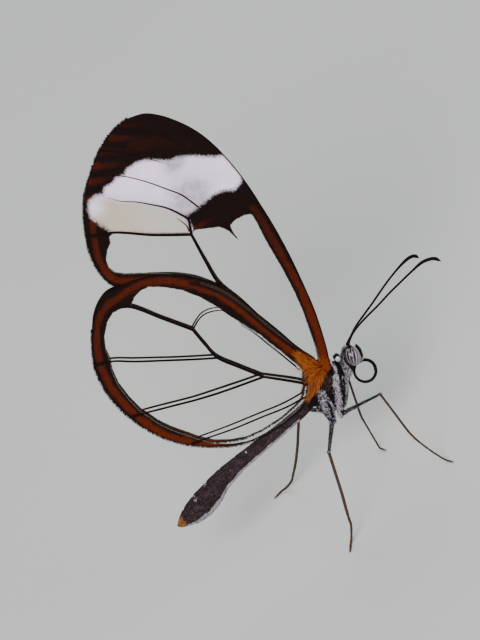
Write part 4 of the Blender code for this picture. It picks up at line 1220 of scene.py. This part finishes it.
def body_marks(points):
    """Markings of body, hips and coat: distance inside each in millimetres, and the shade of the belly.

    A marking is the deepest of its stripes, patches and spots, less the dark streaks. The belly's strip
    ends at a share of the body's height that slopes a little within each segment.
    """
    x, y, z = points.T
    depth = FLANK_PLANE - np.abs(y)
    side = np.column_stack((x + FLANK_SLANT[0] * depth, z + FLANK_SLANT[1] * depth))
    pale = np.full(len(points), OUTSIDE)
    for course, half, cap in FLANK_STRIPES:
        gap, _ = line_distance(side, smooth_curve(course, 6 * len(course)))
        pale = np.maximum(pale, np.minimum(half - gap, cap))
    for outline, cap in PALE_PATCHES:
        pale = np.maximum(pale, np.minimum(signed_distance(side, np.array(outline)), cap))
    for course, half in DARK_STREAKS:
        gap, _ = line_distance(side, smooth_curve(course, 6 * len(course)))
        pale = np.minimum(pale, gap - half)
    around = np.where(pale < 0.0, PALE_SHARPNESS["around"], 1.0)
    pale *= np.where(x > HEAD_START, PALE_SHARPNESS["head"], around)
    stations, low, high, _ = np.array(BODY_STATIONS).T
    bottom, top = np.interp(x, stations, low), np.interp(x, stations, high)
    level = (z - bottom) / np.maximum(top - bottom, 0.01)
    edges = np.array(SEGMENT_EDGES)[::-1]
    cell = np.clip(np.searchsorted(edges, x) - 1, 0, len(edges) - 2)
    slope = np.clip((x - edges[cell]) / (edges[cell + 1] - edges[cell]), 0.0, 1.0)
    strip = np.interp(x, *np.array(BELLY_STRIP).T) + BELLY_SLOPE * (slope - 0.5)
    belly = np.where(x < BELLY_START, BELLY_SHARPNESS * (top - bottom) * (strip - level), OUTSIDE)
    pale = np.maximum(pale, belly)
    for spot, radius in PALE_SPOTS:
        pale = np.maximum(pale, radius - np.linalg.norm(side - spot, axis=1))
    patch = signed_distance(side, np.array(BROWN_PATCH))
    tan = np.where(x < TAN_START, TAN_LENGTH - (x - BODY_STATIONS[0][0]), np.minimum(patch, PATCH_TAN))
    brown = np.where(x < WAIST, 1.0 - 2.0 * np.abs(level - BROWN_LEVEL), patch)
    shade = BELLY_SHADE * blend_step(-BELLY_BLEND, BELLY_BLEND, belly)
    return {"pale": pale, "tan": tan, "brown": brown, "shade": shade}


def mirrored(place, sign):
    """A place on the left side, or its mirror image on the right."""
    return np.array(place) * (1.0, sign, 1.0)


def hip_rings(kind, sign):
    """Rings of one hip, a flattened cone on the flank."""
    rows, columns = GRIDS["hip"]
    fine = smooth_curve([(x, sign * y, z, half) for x, y, z, half in HIPS[kind]], rows)
    return tube_rings(fine[:, :3], fine[:, 3], columns, flat=HIP_FLATNESS, up=(1.0, 0.0, 0.3))


def build_body():
    """Head, neck, thorax and abdomen as one skin, with hips, collar lobes, wing covers and the collar dots of
    painted highlight on it.
    """
    finish = finish_once("body_cover", body_nodes)
    points, faces = close_rings(body_rings())
    marks = body_marks(points)
    bare = np.where(points[:, 0] < WAIST, SKIN_SHADE["abdomen"], SKIN_SHADE["thorax"])
    marks["shade"] = np.maximum(marks["shade"], bare)
    mesh_object("body_skin", points, faces, finish, ("thorax", "abdomen", "head"), marks)
    parts = []
    for _, sign in SIDES:
        parts += [close_rings(hip_rings(kind, sign)) for kind in HIPS]
        parts += [ellipsoid(mirrored(lobe["middle"], sign), lobe["half"], *GRIDS["lobe"])[:2]
                  for lobe in (COLLAR_LOBE, TEGULA)]
    parts += [ellipsoid(mirrored(COLLAR_GLINT_DOT["middle"], sign), COLLAR_GLINT_DOT["half"], *GRIDS["dot"])[:2]
              for _, sign in SIDES]
    points, faces = joined(parts)
    marks = body_marks(points)
    # The collar dots are a painted highlight: white, unshaded skin where a glint of light falls
    dots = np.arange(len(points)) >= len(points) - len(SIDES) * len(parts[-1][0])
    marks["pale"][dots] = 1.0
    marks["shade"] = np.where(dots, 0.0, SKIN_SHADE["thorax"])
    mesh_object("hips_and_lobes", points, faces, finish, values=marks)


def lobe_rings(lobe, sign):
    """Rings of a lobe's ellipsoid, from near its lower end to near its upper end."""
    rows, columns = GRIDS["lobe"]
    lift = np.linspace(-1.5, 1.5, rows)[:, None, None]
    angle = np.linspace(0.0, 2.0 * math.pi, columns, endpoint=False)[None, :, None]
    ball = np.concatenate((np.cos(lift) * np.cos(angle), np.cos(lift) * np.sin(angle),
                           np.sin(lift) + 0.0 * angle), axis=-1)
    return mirrored(lobe["middle"], sign) + np.array(lobe["half"]) * ball


def build_coat(draw):
    """Hairs and raised scales over the body, longer on the thorax and shortest on the head."""
    finish = finish_once("body_coat", coat_nodes)
    rings = body_rings()
    stops, crowds, lengths, widths, lifts, falls = np.array(COAT_STATIONS).T
    for part, low, high, count in COAT_PARTS:
        def crowd(spot):
            """How crowded tufts are at a place, and none outside the part."""
            return np.interp(spot[..., 0], stops, crowds) * ((spot[..., 0] > low) & (spot[..., 0] <= high))

        place, normal, _, unwrap = scatter(rings, count, draw, crowd)
        x = place[:, 0]
        length = np.interp(x, stops, lengths) * draw.uniform(*LENGTH_SPREAD, count)
        width = np.interp(x, stops, widths)
        lift = np.radians(np.interp(x, stops, lifts) * draw.uniform(*LIFT_SPREAD, count))
        way = np.column_stack((-np.ones(count), draw.normal(0.0, COAT_SPREAD, count),
                               np.interp(x, stops, falls) + draw.normal(0.0, COAT_SPREAD, count)))
        values = body_marks(place)
        black = tuft_shades(draw, count, np.where(x < WAIST, BLACK_TUFTS["abdomen"], BLACK_TUFTS["thorax"]))
        values["shade"] = np.maximum(values["shade"], black)
        coat_object(f"{part}_coat", place, normal, lay_flat(way, normal), unwrap, length, width, lift, finish,
                    values)
    parts = []
    for _, sign in SIDES:
        parts += [scatter(hip_rings(kind, sign), HIP_COAT["counts"][kind], draw) for kind in HIPS]
        parts += [scatter(lobe_rings(lobe, sign), HIP_COAT["counts"]["lobe"], draw)
                  for lobe in (COLLAR_LOBE, TEGULA)]
    place, normal, _, unwrap = (np.vstack(group) for group in zip(*parts))
    count = len(place)
    down = np.column_stack((HIP_COAT["back"] * np.ones(count), draw.normal(0.0, HIP_COAT["spread"], count),
                            -np.ones(count)))
    values = body_marks(place)
    values["shade"] = tuft_shades(draw, count, BLACK_TUFTS["hips"])
    # Tufts round a collar dot carry its painted highlight: white and unshaded
    dot = np.linalg.norm(np.abs(place) - COLLAR_GLINT_DOT["middle"], axis=1) < COLLAR_GLINT_COAT
    values["shade"][dot] = 0.0
    values["pale"][dot] = 1.0
    length = draw.uniform(*HIP_COAT["length"], count)
    lift = np.radians(draw.uniform(*HIP_COAT["lift"], count))
    coat_object("hip_coat", place, normal, lay_flat(down, normal), unwrap, length, HIP_COAT["width"], lift,
                finish, values)


def build_crown(draw):
    """Upright black hairs on the crown, and shorter ones that frame the upper and rear edge of each eye.

    A crown hair's root is on the upright ellipse of the body there; a frame hair's is on the eye's
    inner side, at a turn from the front over the top to the rear, and it points away from its middle.
    """
    stations, low, high, wide = np.array(BODY_STATIONS).T
    count, across_most = CROWN["count"], CROWN["across"]
    x = draw.uniform(*CROWN["x"], count)
    across = draw.uniform(-across_most, across_most, count)
    top, bottom = np.interp(x, stations, high), np.interp(x, stations, low)
    place = [np.column_stack((x, across * np.interp(x, stations, wide),
                              0.5 * (top + bottom) + 0.5 * (top - bottom) * np.sqrt(1.0 - across ** 2)))]
    lie = [np.column_stack((draw.normal(*CROWN["forwards"], count),
                            CROWN["outwards"] * across + draw.normal(0.0, CROWN["spread"], count),
                            np.ones(count)))]
    length = [draw.uniform(*CROWN["length"], count)]
    for _, sign in SIDES:
        count = EYE_FRAME["count"]
        turn = np.radians(draw.uniform(*EYE_FRAME["turn"], count))
        lean = np.radians(draw.uniform(*EYE_FRAME["lean"], count))
        ball = np.column_stack((np.cos(turn) * np.cos(lean), -sign * np.sin(lean),
                                np.sin(turn) * np.cos(lean)))
        place.append(mirrored(EYE_MIDDLE, sign) + np.array(EYE_HALF) * ball)
        lie.append(ball * (1.0, EYE_FRAME["aside"], 1.0) + draw.normal(0.0, EYE_FRAME["spread"], (count, 3)))
        length.append(draw.uniform(*EYE_FRAME["length"], count))
    place, lie, length = np.vstack(place), np.vstack(lie), np.concatenate(length)
    lie /= np.linalg.norm(lie, axis=1)[:, None]
    normal = lay_flat(np.tile((1.0, 0.0, 0.0), (len(place), 1)), lie)
    values = body_marks(place)
    values["shade"] = draw.uniform(*CROWN["shade"], len(place))
    unwrap = (place[:, [0, 2]] - CROWN["unwrap_corner"]) / CROWN["unwrap_size"]
    coat_object("crown_hairs", place, normal, lie, unwrap, length, CROWN["width"], 0.0,
                finish_once("body_coat", coat_nodes), values)


def build_eyes():
    """Each eye is an ellipsoid set in the side of the head, its stripes lines of longitude.

    Longitude is the turn round the pole from the outward direction, positive towards the front.
    """
    for side, sign in SIDES:
        points, faces, ball = ellipsoid(mirrored(EYE_MIDDLE, sign), EYE_HALF, *GRIDS["eye"])
        pole, outward = mirrored(EYE_POLE, sign), mirrored(EYE_OUTWARD, sign)
        pole /= np.linalg.norm(pole)
        outward -= (outward @ pole) * pole
        outward /= np.linalg.norm(outward)
        turn = np.degrees(np.arctan2(sign * (ball @ np.cross(pole, outward)), ball @ outward))
        radius = EYE_HALF[0] * np.sqrt(np.maximum(1.0 - (ball @ pole) ** 2, 0.0))
        stripe = np.maximum(-1.0, radius * np.radians(np.abs(turn) - EYE_INNER))
        for place, half in EYE_STRIPES:
            gap = np.abs((turn - place + 180.0) % 360.0 - 180.0)
            stripe = np.maximum(stripe, radius * np.radians(half - gap))
        mesh_object(f"eye_{side}_ball", points, faces, finish_once("eye_facets", eye_nodes),
                    (f"eye_{side}",), {"stripe": stripe, "front": blend_step(*EYE_FRONT, turn)})


def stepped(share, start, steps):
    """A radius along a course: its start plus each step's amount, taken smoothly between two shares."""
    return start + sum(amount * blend_step(low, high, share) for amount, low, high in steps)


def build_head_limbs(draw):
    """Antennae with clubs, hairy palps, and the tongue as a watch-spring coil."""
    dark = finish_once("antenna_cuticle", two_tone_nodes("antenna", "border", roughness=0.6, specular=0.05))
    cover, coat = finish_once("body_cover", body_nodes), finish_once("body_coat", coat_nodes)
    for side, sign in SIDES:
        path = smooth_curve(ANTENNAE[side], samples=200)
        share = np.linspace(0.0, 1.0, len(path))
        knob, knob_place, knob_half = ANTENNA_KNOB
        radii = stepped(share, *ANTENNA_RADII) + knob * np.exp(-((share - knob_place) / knob_half) ** 2)
        radii *= 1.0 + ANTENNA_RING_HEIGHT * np.sin(share * 2.0 * math.pi * ANTENNA_RINGS)
        points, faces = tube(path, radii, sides=12)
        mesh_object(f"antenna_{side}_stalk", points, faces, dark, (f"antenna_{side}",))

        path = smooth_curve([mirrored(place, sign) for place in PALP], samples=40)
        share = np.linspace(0.0, 1.0, len(path))
        rings = tube_rings(path, stepped(share, *PALP_RADII), sides=12, up=(1.0, 0.0, 0.0))
        points, faces = close_rings(rings)
        marks = body_marks(points)
        marks["shade"] = np.full(len(points), 0.5)
        mesh_object(f"palp_{side}_form", points, faces, cover, (f"palp_{side}",), marks)
        count = PALP_COAT["count"]
        place, normal, way, unwrap = scatter(rings, count, draw)
        values = body_marks(place)
        values["shade"] = draw.random(count) ** 2 * PALP_COAT["shade"]
        length = draw.uniform(*PALP_COAT["length"], count)
        lift = np.radians(draw.uniform(*PALP_COAT["lift"], count))
        coat_object(f"palp_{side}_coat", place, normal, lay_flat(way, normal), unwrap, length,
                    PALP_COAT["width"], lift, coat, values)

    turn = np.linspace(0.0, 1.0, 150)
    angle = np.radians(TONGUE_START - TONGUE_SWEEP * turn)
    reach = TONGUE_COIL - TONGUE_TIGHTENING * np.maximum(turn - TONGUE_RING, 0.0)
    rise = reach * np.sin(angle)
    aside = TONGUE_LEAN * (rise - TONGUE_COIL) + TONGUE_DRIFT * turn
    path = np.stack((TONGUE_MIDDLE[0] + reach * np.cos(angle), aside, TONGUE_MIDDLE[1] + rise), axis=1)
    points, faces = tube(path, TONGUE_RADIUS - TONGUE_TAPER * turn, sides=12, up=(0.0, 1.0, 0.0))
    mesh_object("proboscis_coil", points, faces, dark, ("proboscis",))


def leg_course(leg):
    """Places along a walking leg and its radius there, from inside the hip to the toe.

    The knee is a corner; the ankle is a round bend, and the bow bends the foot between its ends.
    """
    heading = math.radians(leg["heading"])
    toe = np.array((*leg["toe"], TOE_HEIGHT))
    heel = toe - FOOT_LENGTH * np.array((math.cos(heading), math.sin(heading), 0.0)) + (0.0, 0.0, HEEL_RISE)
    hip, knee, ankle, bow = (np.array(leg[key]) for key in ("hip", "knee", "ankle", "bow"))
    thigh, shin, foot = knee - hip, ankle - knee, heel - ankle
    before, after = ANKLE_BEND[0] * leg["round"], min(ANKLE_BEND[1] * leg["round"], ANKLE_BEND_MOST)
    bend = ankle - 0.25 * before * shin + 0.25 * after * foot
    # Each station is a place and the radius of a slender leg there
    stations = [(hip + (0.0, 0.0, 0.35), 0.22), (hip, 0.2), (hip + 0.1 * thigh, 0.155),
                (hip + 0.35 * thigh, 0.13), (hip + 0.8 * thigh, 0.105), (hip + 0.96 * thigh, 0.1),
                (knee + (0.0, 0.0, 0.04), 0.115), (knee + 0.06 * shin, 0.1), (knee + 0.5 * shin, 0.1),
                (ankle - before * shin, 0.1), (bend, 0.1), (ankle + after * foot + 0.5 * bow, 0.088),
                (ankle + 0.55 * foot + bow, 0.082), (ankle + 0.85 * foot + 0.6 * bow, 0.08), (heel, 0.08),
                (0.5 * (heel + toe), 0.075), (toe, 0.06)]
    stations = np.array([np.append(spot, leg["stout"] * radius) for spot, radius in stations])
    fine = smooth_curve(stations, samples=260)
    reach = np.cumsum(np.linalg.norm(np.diff(fine[:, :3], axis=0, prepend=fine[:1, :3]), axis=1))
    start = reach[np.argmin(np.linalg.norm(fine[:, :3] - bend, axis=1))]
    joint = np.clip((reach - start) / (reach[-1] - start), 0.0, 1.0)
    notch = np.abs((joint * TARSUS_PIECES + 0.5) % 1.0 - 0.5)
    pinch = 1.0 - NOTCH_DEPTH * np.exp(-(notch / NOTCH_HALF) ** 2)
    fine[:, 3] *= np.where((joint > 0.0) & (joint < 1.0), pinch, 1.0)
    fine[:, 2] = np.maximum(fine[:, 2], fine[:, 3])
    return fine[:, :3], fine[:, 3], np.array((toe, heel, knee, bend))


def claws_and_spurs(toe, heel, knee, ankle):
    """A pair of claws at the toe and a pair of spurs at the ankle, as short curved cones."""
    way = lay_flat(toe[None] - heel[None], np.array(((0.0, 0.0, 1.0),)))[0]
    left = np.array((-way[1], way[0], 0.0))
    shin = (ankle - knee) / np.linalg.norm(ankle - knee)
    cones = []
    for turn in (-1.0, 1.0):
        claw = [toe + ahead * way + (aside * turn) * left + (0.0, 0.0, up) for ahead, aside, up in CLAW]
        spur = [ankle + along * shin + aside * turn * left for along, aside in SPUR]
        for course in ([toe, *claw], [ankle, *spur]):
            fine = smooth_curve(course, samples=10)
            fine[:, 2] = np.maximum(fine[:, 2], CLAW_HEIGHT)
            cones.append(tube(fine, np.linspace(*CLAW_RADII, len(fine)), sides=6, up=(0.0, 0.0, 1.0)))
    return cones


def build_legs(draw):
    """Four walking legs with spurs, claws and bristles, and the two small folded forelegs."""
    finish, coat = finish_once("leg_scales", leg_nodes), finish_once("body_coat", coat_nodes)
    sides = 14
    for name, leg in LEGS.items():
        path, radii, (toe, heel, knee, ankle) = leg_course(leg)
        rings = tube_rings(path, radii, sides, up=(1.0, 0.2, 0.1))
        reach = np.cumsum(np.linalg.norm(np.diff(path, axis=0, prepend=path[:1]), axis=1))
        bend = reach[np.argmin(np.linalg.norm(path - knee, axis=1))]
        outer = blend_step(*(share * bend for share in LEG_BROWN), reach)
        cones = claws_and_spurs(toe, heel, knee, ankle)
        points, faces = joined([close_rings(rings), *cones])
        brown = np.concatenate((np.repeat(outer, sides), outer[[0, -1]],
                                *(np.ones(len(cone)) for cone, _ in cones)))
        mesh_object(name + "_form", points, faces, finish,
                    tuple(f"{name}_{part}" for part in ("femur", "tibia", "tarsus")), {"outer": brown})

        count = LEG_COAT["count"]
        place, normal, way, unwrap = scatter(rings, count, draw)
        near = np.interp(unwrap[:, 0], np.linspace(0.0, 1.0, len(path)), outer) < 0.5
        keep = near | (draw.random(count) < LEG_COAT["outer_share"])
        keep &= place[:, 2] > LEG_COAT["lowest"]
        place, normal, way, unwrap, near = (group[keep] for group in (place, normal, way, unwrap, near))
        number = len(place)
        root = 1.0 - blend_step(0.0, LEG_COAT["root_end"], unwrap[:, 0])
        length = np.where(
            near, draw.uniform(*LEG_COAT["near"], number) * (1.0 + LEG_COAT["root_more"] * root),
            draw.uniform(*LEG_COAT["far"], number))
        pale_share = LEG_SPECKLES[0] * leg["stout"] - LEG_SPECKLES[1]
        speckle = np.where(near & (draw.random(number) < pale_share), 1.0, -1.0)
        coat_object(name + "_coat", place, normal, lay_flat(way, normal), unwrap, length, LEG_COAT["width"],
                    np.radians(draw.uniform(*LEG_COAT["lift"], number)), coat,
                    {"pale": speckle, "tan": np.full(number, OUTSIDE), "brown": np.where(near, -0.5, 0.5),
                     "shade": np.where(speckle > 0.0, 0.0, draw.random(number) * 0.5)})
    for side, sign in SIDES:
        path = smooth_curve([mirrored(place, sign) for place in FORELEG], samples=60)
        radii = FORELEG_RADIUS - FORELEG_TAPER * np.linspace(0.0, 1.0, len(path))
        points, faces = tube(path, radii, sides=12, up=(0.0, 1.0, 0.0))
        mesh_object(f"foreleg_{side}_form", points, faces, finish, (f"foreleg_{side}",),
                    {"outer": np.zeros(len(points))})


def photo_camera():
    """The camera of the photograph: its place, its turn about its own axis, and its lens."""
    a, e, r = (math.radians(v) for v in (CAMERA_AZIMUTH, CAMERA_ELEVATION, CAMERA_ROLL))
    back = np.array((math.sin(a) * math.cos(e), -math.cos(a) * math.cos(e), math.sin(e)))
    right = np.array((math.cos(a), math.sin(a), 0.0))
    up = np.cross(back, right)
    right, up = right * math.cos(r) - up * math.sin(r), right * math.sin(r) + up * math.cos(r)
    focal = CAMERA_DISTANCE / MM_PER_PIXEL
    x = (AIM_PIXEL[0] - IMAGE_WIDTH / 2) / focal
    y = -(AIM_PIXEL[1] - IMAGE_HEIGHT / 2) / focal
    data = bpy.data.cameras.new("photo_camera")
    data.lens = focal * SENSOR / IMAGE_HEIGHT
    data.sensor_width = SENSOR
    data.clip_start, data.clip_end = CLIPPING
    obj = bpy.data.objects.new("photo_camera", data)
    matrix = np.identity(4)
    matrix[:3, :3] = np.stack((right, up, back), axis=1)
    matrix[:3, 3] = in_metres(AIM_POINT - CAMERA_DISTANCE * (right * x + up * y - back))
    obj.matrix_world = Matrix(matrix)
    bpy.context.scene.collection.objects.link(obj)
    bpy.context.scene.camera = obj


def area_light(name, place, size, power, tint):
    """A soft square light that faces the butterfly."""
    data = bpy.data.lights.new(name, "AREA")
    data.shape, data.size, data.energy, data.color = "SQUARE", size, power, tint
    obj = bpy.data.objects.new(name, data)
    obj.location = place
    obj.rotation_euler = (Vector(place) - Vector(LIGHT_TARGET)).to_track_quat("Z", "Y").to_euler()
    bpy.context.scene.collection.objects.link(obj)


def floor_nodes(tree, shader):
    """Plain pale matt floor with a faint mottle."""
    tone = mixed(tree, noise(tree, size_mm=40.0, detail=2.0), colour("floor"), colour("floor_tone"))
    tree.links.new(tone, shader.inputs["Base Color"])
    dull(shader, roughness=0.9, specular=0.2)


def build_stage():
    """Pale floor, soft lights, pale surroundings and the photograph's camera."""
    photo_camera()
    mesh = bpy.data.meshes.new("floor")
    corners = [(x * FLOOR_HALF, y * FLOOR_HALF, 0.0) for x, y in ((-1, -1), (1, -1), (1, 1), (-1, 1))]
    mesh.from_pydata(corners, [], [(0, 1, 2, 3)])
    mesh.materials.append(finish_once("floor_plain", floor_nodes))
    floor = bpy.data.objects.new("floor", mesh)
    bpy.context.scene.collection.objects.link(floor)
    world = bpy.data.worlds.new("studio")
    world.use_nodes = True
    world.node_tree.nodes["Background"].inputs["Color"].default_value = SKY_COLOUR
    world.node_tree.nodes["Background"].inputs["Strength"].default_value = SKY_STRENGTH
    bpy.context.scene.world = world
    for name, (place, size, power, tint) in LIGHTS.items():
        area_light(name, place, size, power, tint)


# The add-on

def size_property(name, description, default_mm):
    """A length that a user can change."""
    return bpy.props.FloatProperty(name=name, description=description, default=default_mm * MM,
                                   min=0.0, unit="LENGTH", subtype="DISTANCE", precision=5)


def colour_property(name, description, default):
    """A colour that a user can change."""
    return bpy.props.FloatVectorProperty(name=name, description=description, default=default, size=3,
                                         min=0.0, max=1.0, subtype="COLOR")


class GlasswingSizes(bpy.types.PropertyGroup):
    """Sizes of the wings."""
    membrane_thickness: size_property("Membrane thickness", "Thickness of a wing's clear sheet", 0.05)
    wing_spacing: size_property("Wing spacing", "Distance between the two closed forewings", 0.7)
    membrane_cover: bpy.props.FloatProperty(
        name="Membrane cover", description="Share of light that one face of the clear sheet holds back",
        default=0.015, min=0.0, max=1.0, subtype="FACTOR")


class GlasswingColours(bpy.types.PropertyGroup):
    """Colours of scales, cuticle and stage."""
    border: colour_property("Border", "Dark scales of the wing border", (0.003, 0.001, 0.001))
    border_tone: colour_property("Border tone", "Lighter scales in the border", (0.013, 0.003, 0.002))
    rust: colour_property("Rust", "Rust scales within the border", (0.065, 0.006, 0.001))
    rust_tone: colour_property("Rust tone", "Lighter rust scales", (0.13, 0.018, 0.002))
    amber: colour_property("Amber", "Bright scales at the wing roots", (0.15, 0.03, 0.002))
    amber_tone: colour_property("Amber tone", "Lighter scales at the wing roots", (0.28, 0.062, 0.005))
    hair: colour_property("Hair", "Pale hairs at the wing roots", (0.5, 0.16, 0.02))
    bare: colour_property("Bare", "Thinly scaled strip of the hindwing's front edge", (0.03, 0.019, 0.014))
    tail: colour_property("Tail", "Tan tip of the abdomen", (0.42, 0.17, 0.05))
    milk: colour_property("Milk", "White band of the forewing", (0.95, 0.73, 0.89))
    # The bluish tone of the white band is a painted iridescent sheen
    milk_sheen: colour_property("Milk tone", "Bluish part of the white band", (0.6, 0.6, 0.78))
    smoke: colour_property("Smoke", "Smoky scales in the white band", (0.22, 0.21, 0.22))
    cream: colour_property("Cream", "Thinner rear part of the white band", (0.6, 0.5, 0.42))
    membrane: colour_property("Membrane", "Tint of the clear sheet", (0.25, 0.24, 0.2))
    vein: colour_property("Vein", "Veins", (0.008, 0.003, 0.002))
    body: colour_property("Body", "Black body scales", (0.004, 0.003, 0.004))
    body_tone: colour_property("Body tone", "Lighter body scales", (0.02, 0.014, 0.017))
    brown: colour_property("Brown", "Brown scales of the abdomen", (0.009, 0.005, 0.006))
    brown_tone: colour_property("Brown tone", "Lighter scales of the abdomen", (0.085, 0.05, 0.06))
    stripe: colour_property("Stripe", "Pale stripes of the flank", (0.95, 0.87, 0.99))
    stripe_tone: colour_property("Stripe tone", "Greyer scales in the pale stripes", (0.3, 0.26, 0.34))
    leg: colour_property("Leg", "Brown of the lower legs", (0.075, 0.04, 0.028))
    leg_tone: colour_property("Leg tone", "Darker brown of the lower legs", (0.02, 0.012, 0.009))
    antenna: colour_property("Antenna", "Antennae and tongue", (0.004, 0.003, 0.003))
    eye: colour_property("Eye", "Silvery ground of the eyes", (0.5, 0.38, 0.47))
    eye_tone: colour_property("Eye tone", "Second tone of the eyes", (0.3, 0.25, 0.3))
    eye_front: colour_property("Eye front", "Greyer front of the eyes", (0.13, 0.125, 0.155))
    eye_stripe: colour_property("Eye stripe", "Stripes of the eyes", (0.008, 0.005, 0.008))
    floor: colour_property("Floor", "Plain floor", (0.53, 0.55, 0.53))
    floor_tone: colour_property("Floor tone", "Second tone of the floor", (0.49, 0.51, 0.5))


class GLASSWING_OT_body(bpy.types.Operator):
    """Make the skin of head, thorax and abdomen"""
    bl_idname = "glasswing.body"
    bl_label = "Body"

    def execute(self, context):
        build_body()
        return {"FINISHED"}


class GLASSWING_OT_coat(bpy.types.Operator):
    """Lay the coat of hairs and raised scales over the body"""
    bl_idname = "glasswing.coat"
    bl_label = "Coat"

    def execute(self, context):
        draw = np.random.default_rng(RANDOM_SEED)
        build_coat(draw)
        build_crown(draw)
        return {"FINISHED"}


class GLASSWING_OT_eyes(bpy.types.Operator):
    """Make the striped eyes"""
    bl_idname = "glasswing.eyes"
    bl_label = "Eyes"

    def execute(self, context):
        build_eyes()
        return {"FINISHED"}


class GLASSWING_OT_head_limbs(bpy.types.Operator):
    """Make the antennae, palps and coiled tongue"""
    bl_idname = "glasswing.head_limbs"
    bl_label = "Antennae, palps and tongue"

    def execute(self, context):
        build_head_limbs(np.random.default_rng(RANDOM_SEED + 1))
        return {"FINISHED"}


class GLASSWING_OT_legs(bpy.types.Operator):
    """Make the legs"""
    bl_idname = "glasswing.legs"
    bl_label = "Legs"

    def execute(self, context):
        build_legs(np.random.default_rng(RANDOM_SEED + 2))
        return {"FINISHED"}


class GLASSWING_OT_wings(bpy.types.Operator):
    """Make the four wings with their veins"""
    bl_idname = "glasswing.wings"
    bl_label = "Wings"

    def execute(self, context):
        draw = np.random.default_rng(RANDOM_SEED + 3)
        for side, sign in SIDES:
            for kind in WINGS:
                build_wing(kind, side, sign)
                build_veins(kind, side, sign)
                build_fringe(kind, side, sign, draw)
            build_root_hairs(side, sign, draw)
        return {"FINISHED"}


class GLASSWING_OT_stage(bpy.types.Operator):
    """Make the floor, lights and camera"""
    bl_idname = "glasswing.stage"
    bl_label = "Stage"

    def execute(self, context):
        build_stage()
        return {"FINISHED"}


class GLASSWING_PT_panel(bpy.types.Panel):
    """Lists the sizes, colours and pieces"""
    bl_label = "Glasswing butterfly"
    bl_idname = "GLASSWING_PT_panel"
    bl_space_type = "VIEW_3D"
    bl_region_type = "UI"
    bl_category = "Glasswing"

    def draw(self, context):
        for group in (context.scene.glasswing_sizes, context.scene.glasswing_colours):
            box = self.layout.box()
            for key in group.bl_rna.properties.keys():
                if key not in ("name", "rna_type"):
                    box.prop(group, key)
        for operator in OPERATORS:
            self.layout.operator(operator.bl_idname)


OPERATORS = (GLASSWING_OT_stage, GLASSWING_OT_body, GLASSWING_OT_coat, GLASSWING_OT_eyes,
             GLASSWING_OT_head_limbs, GLASSWING_OT_legs, GLASSWING_OT_wings)
CLASSES = (GlasswingSizes, GlasswingColours, *OPERATORS, GLASSWING_PT_panel)


def register():
    for made in CLASSES:
        bpy.utils.register_class(made)
    bpy.types.Scene.glasswing_sizes = bpy.props.PointerProperty(type=GlasswingSizes)
    bpy.types.Scene.glasswing_colours = bpy.props.PointerProperty(type=GlasswingColours)


def unregister():
    del bpy.types.Scene.glasswing_colours
    del bpy.types.Scene.glasswing_sizes
    for made in reversed(CLASSES):
        bpy.utils.unregister_class(made)


def main():
    register()
    for operator in OPERATORS:
        group, name = operator.bl_idname.split(".")
        getattr(getattr(bpy.ops, group), name)()


if __name__ == "__main__":
    main()
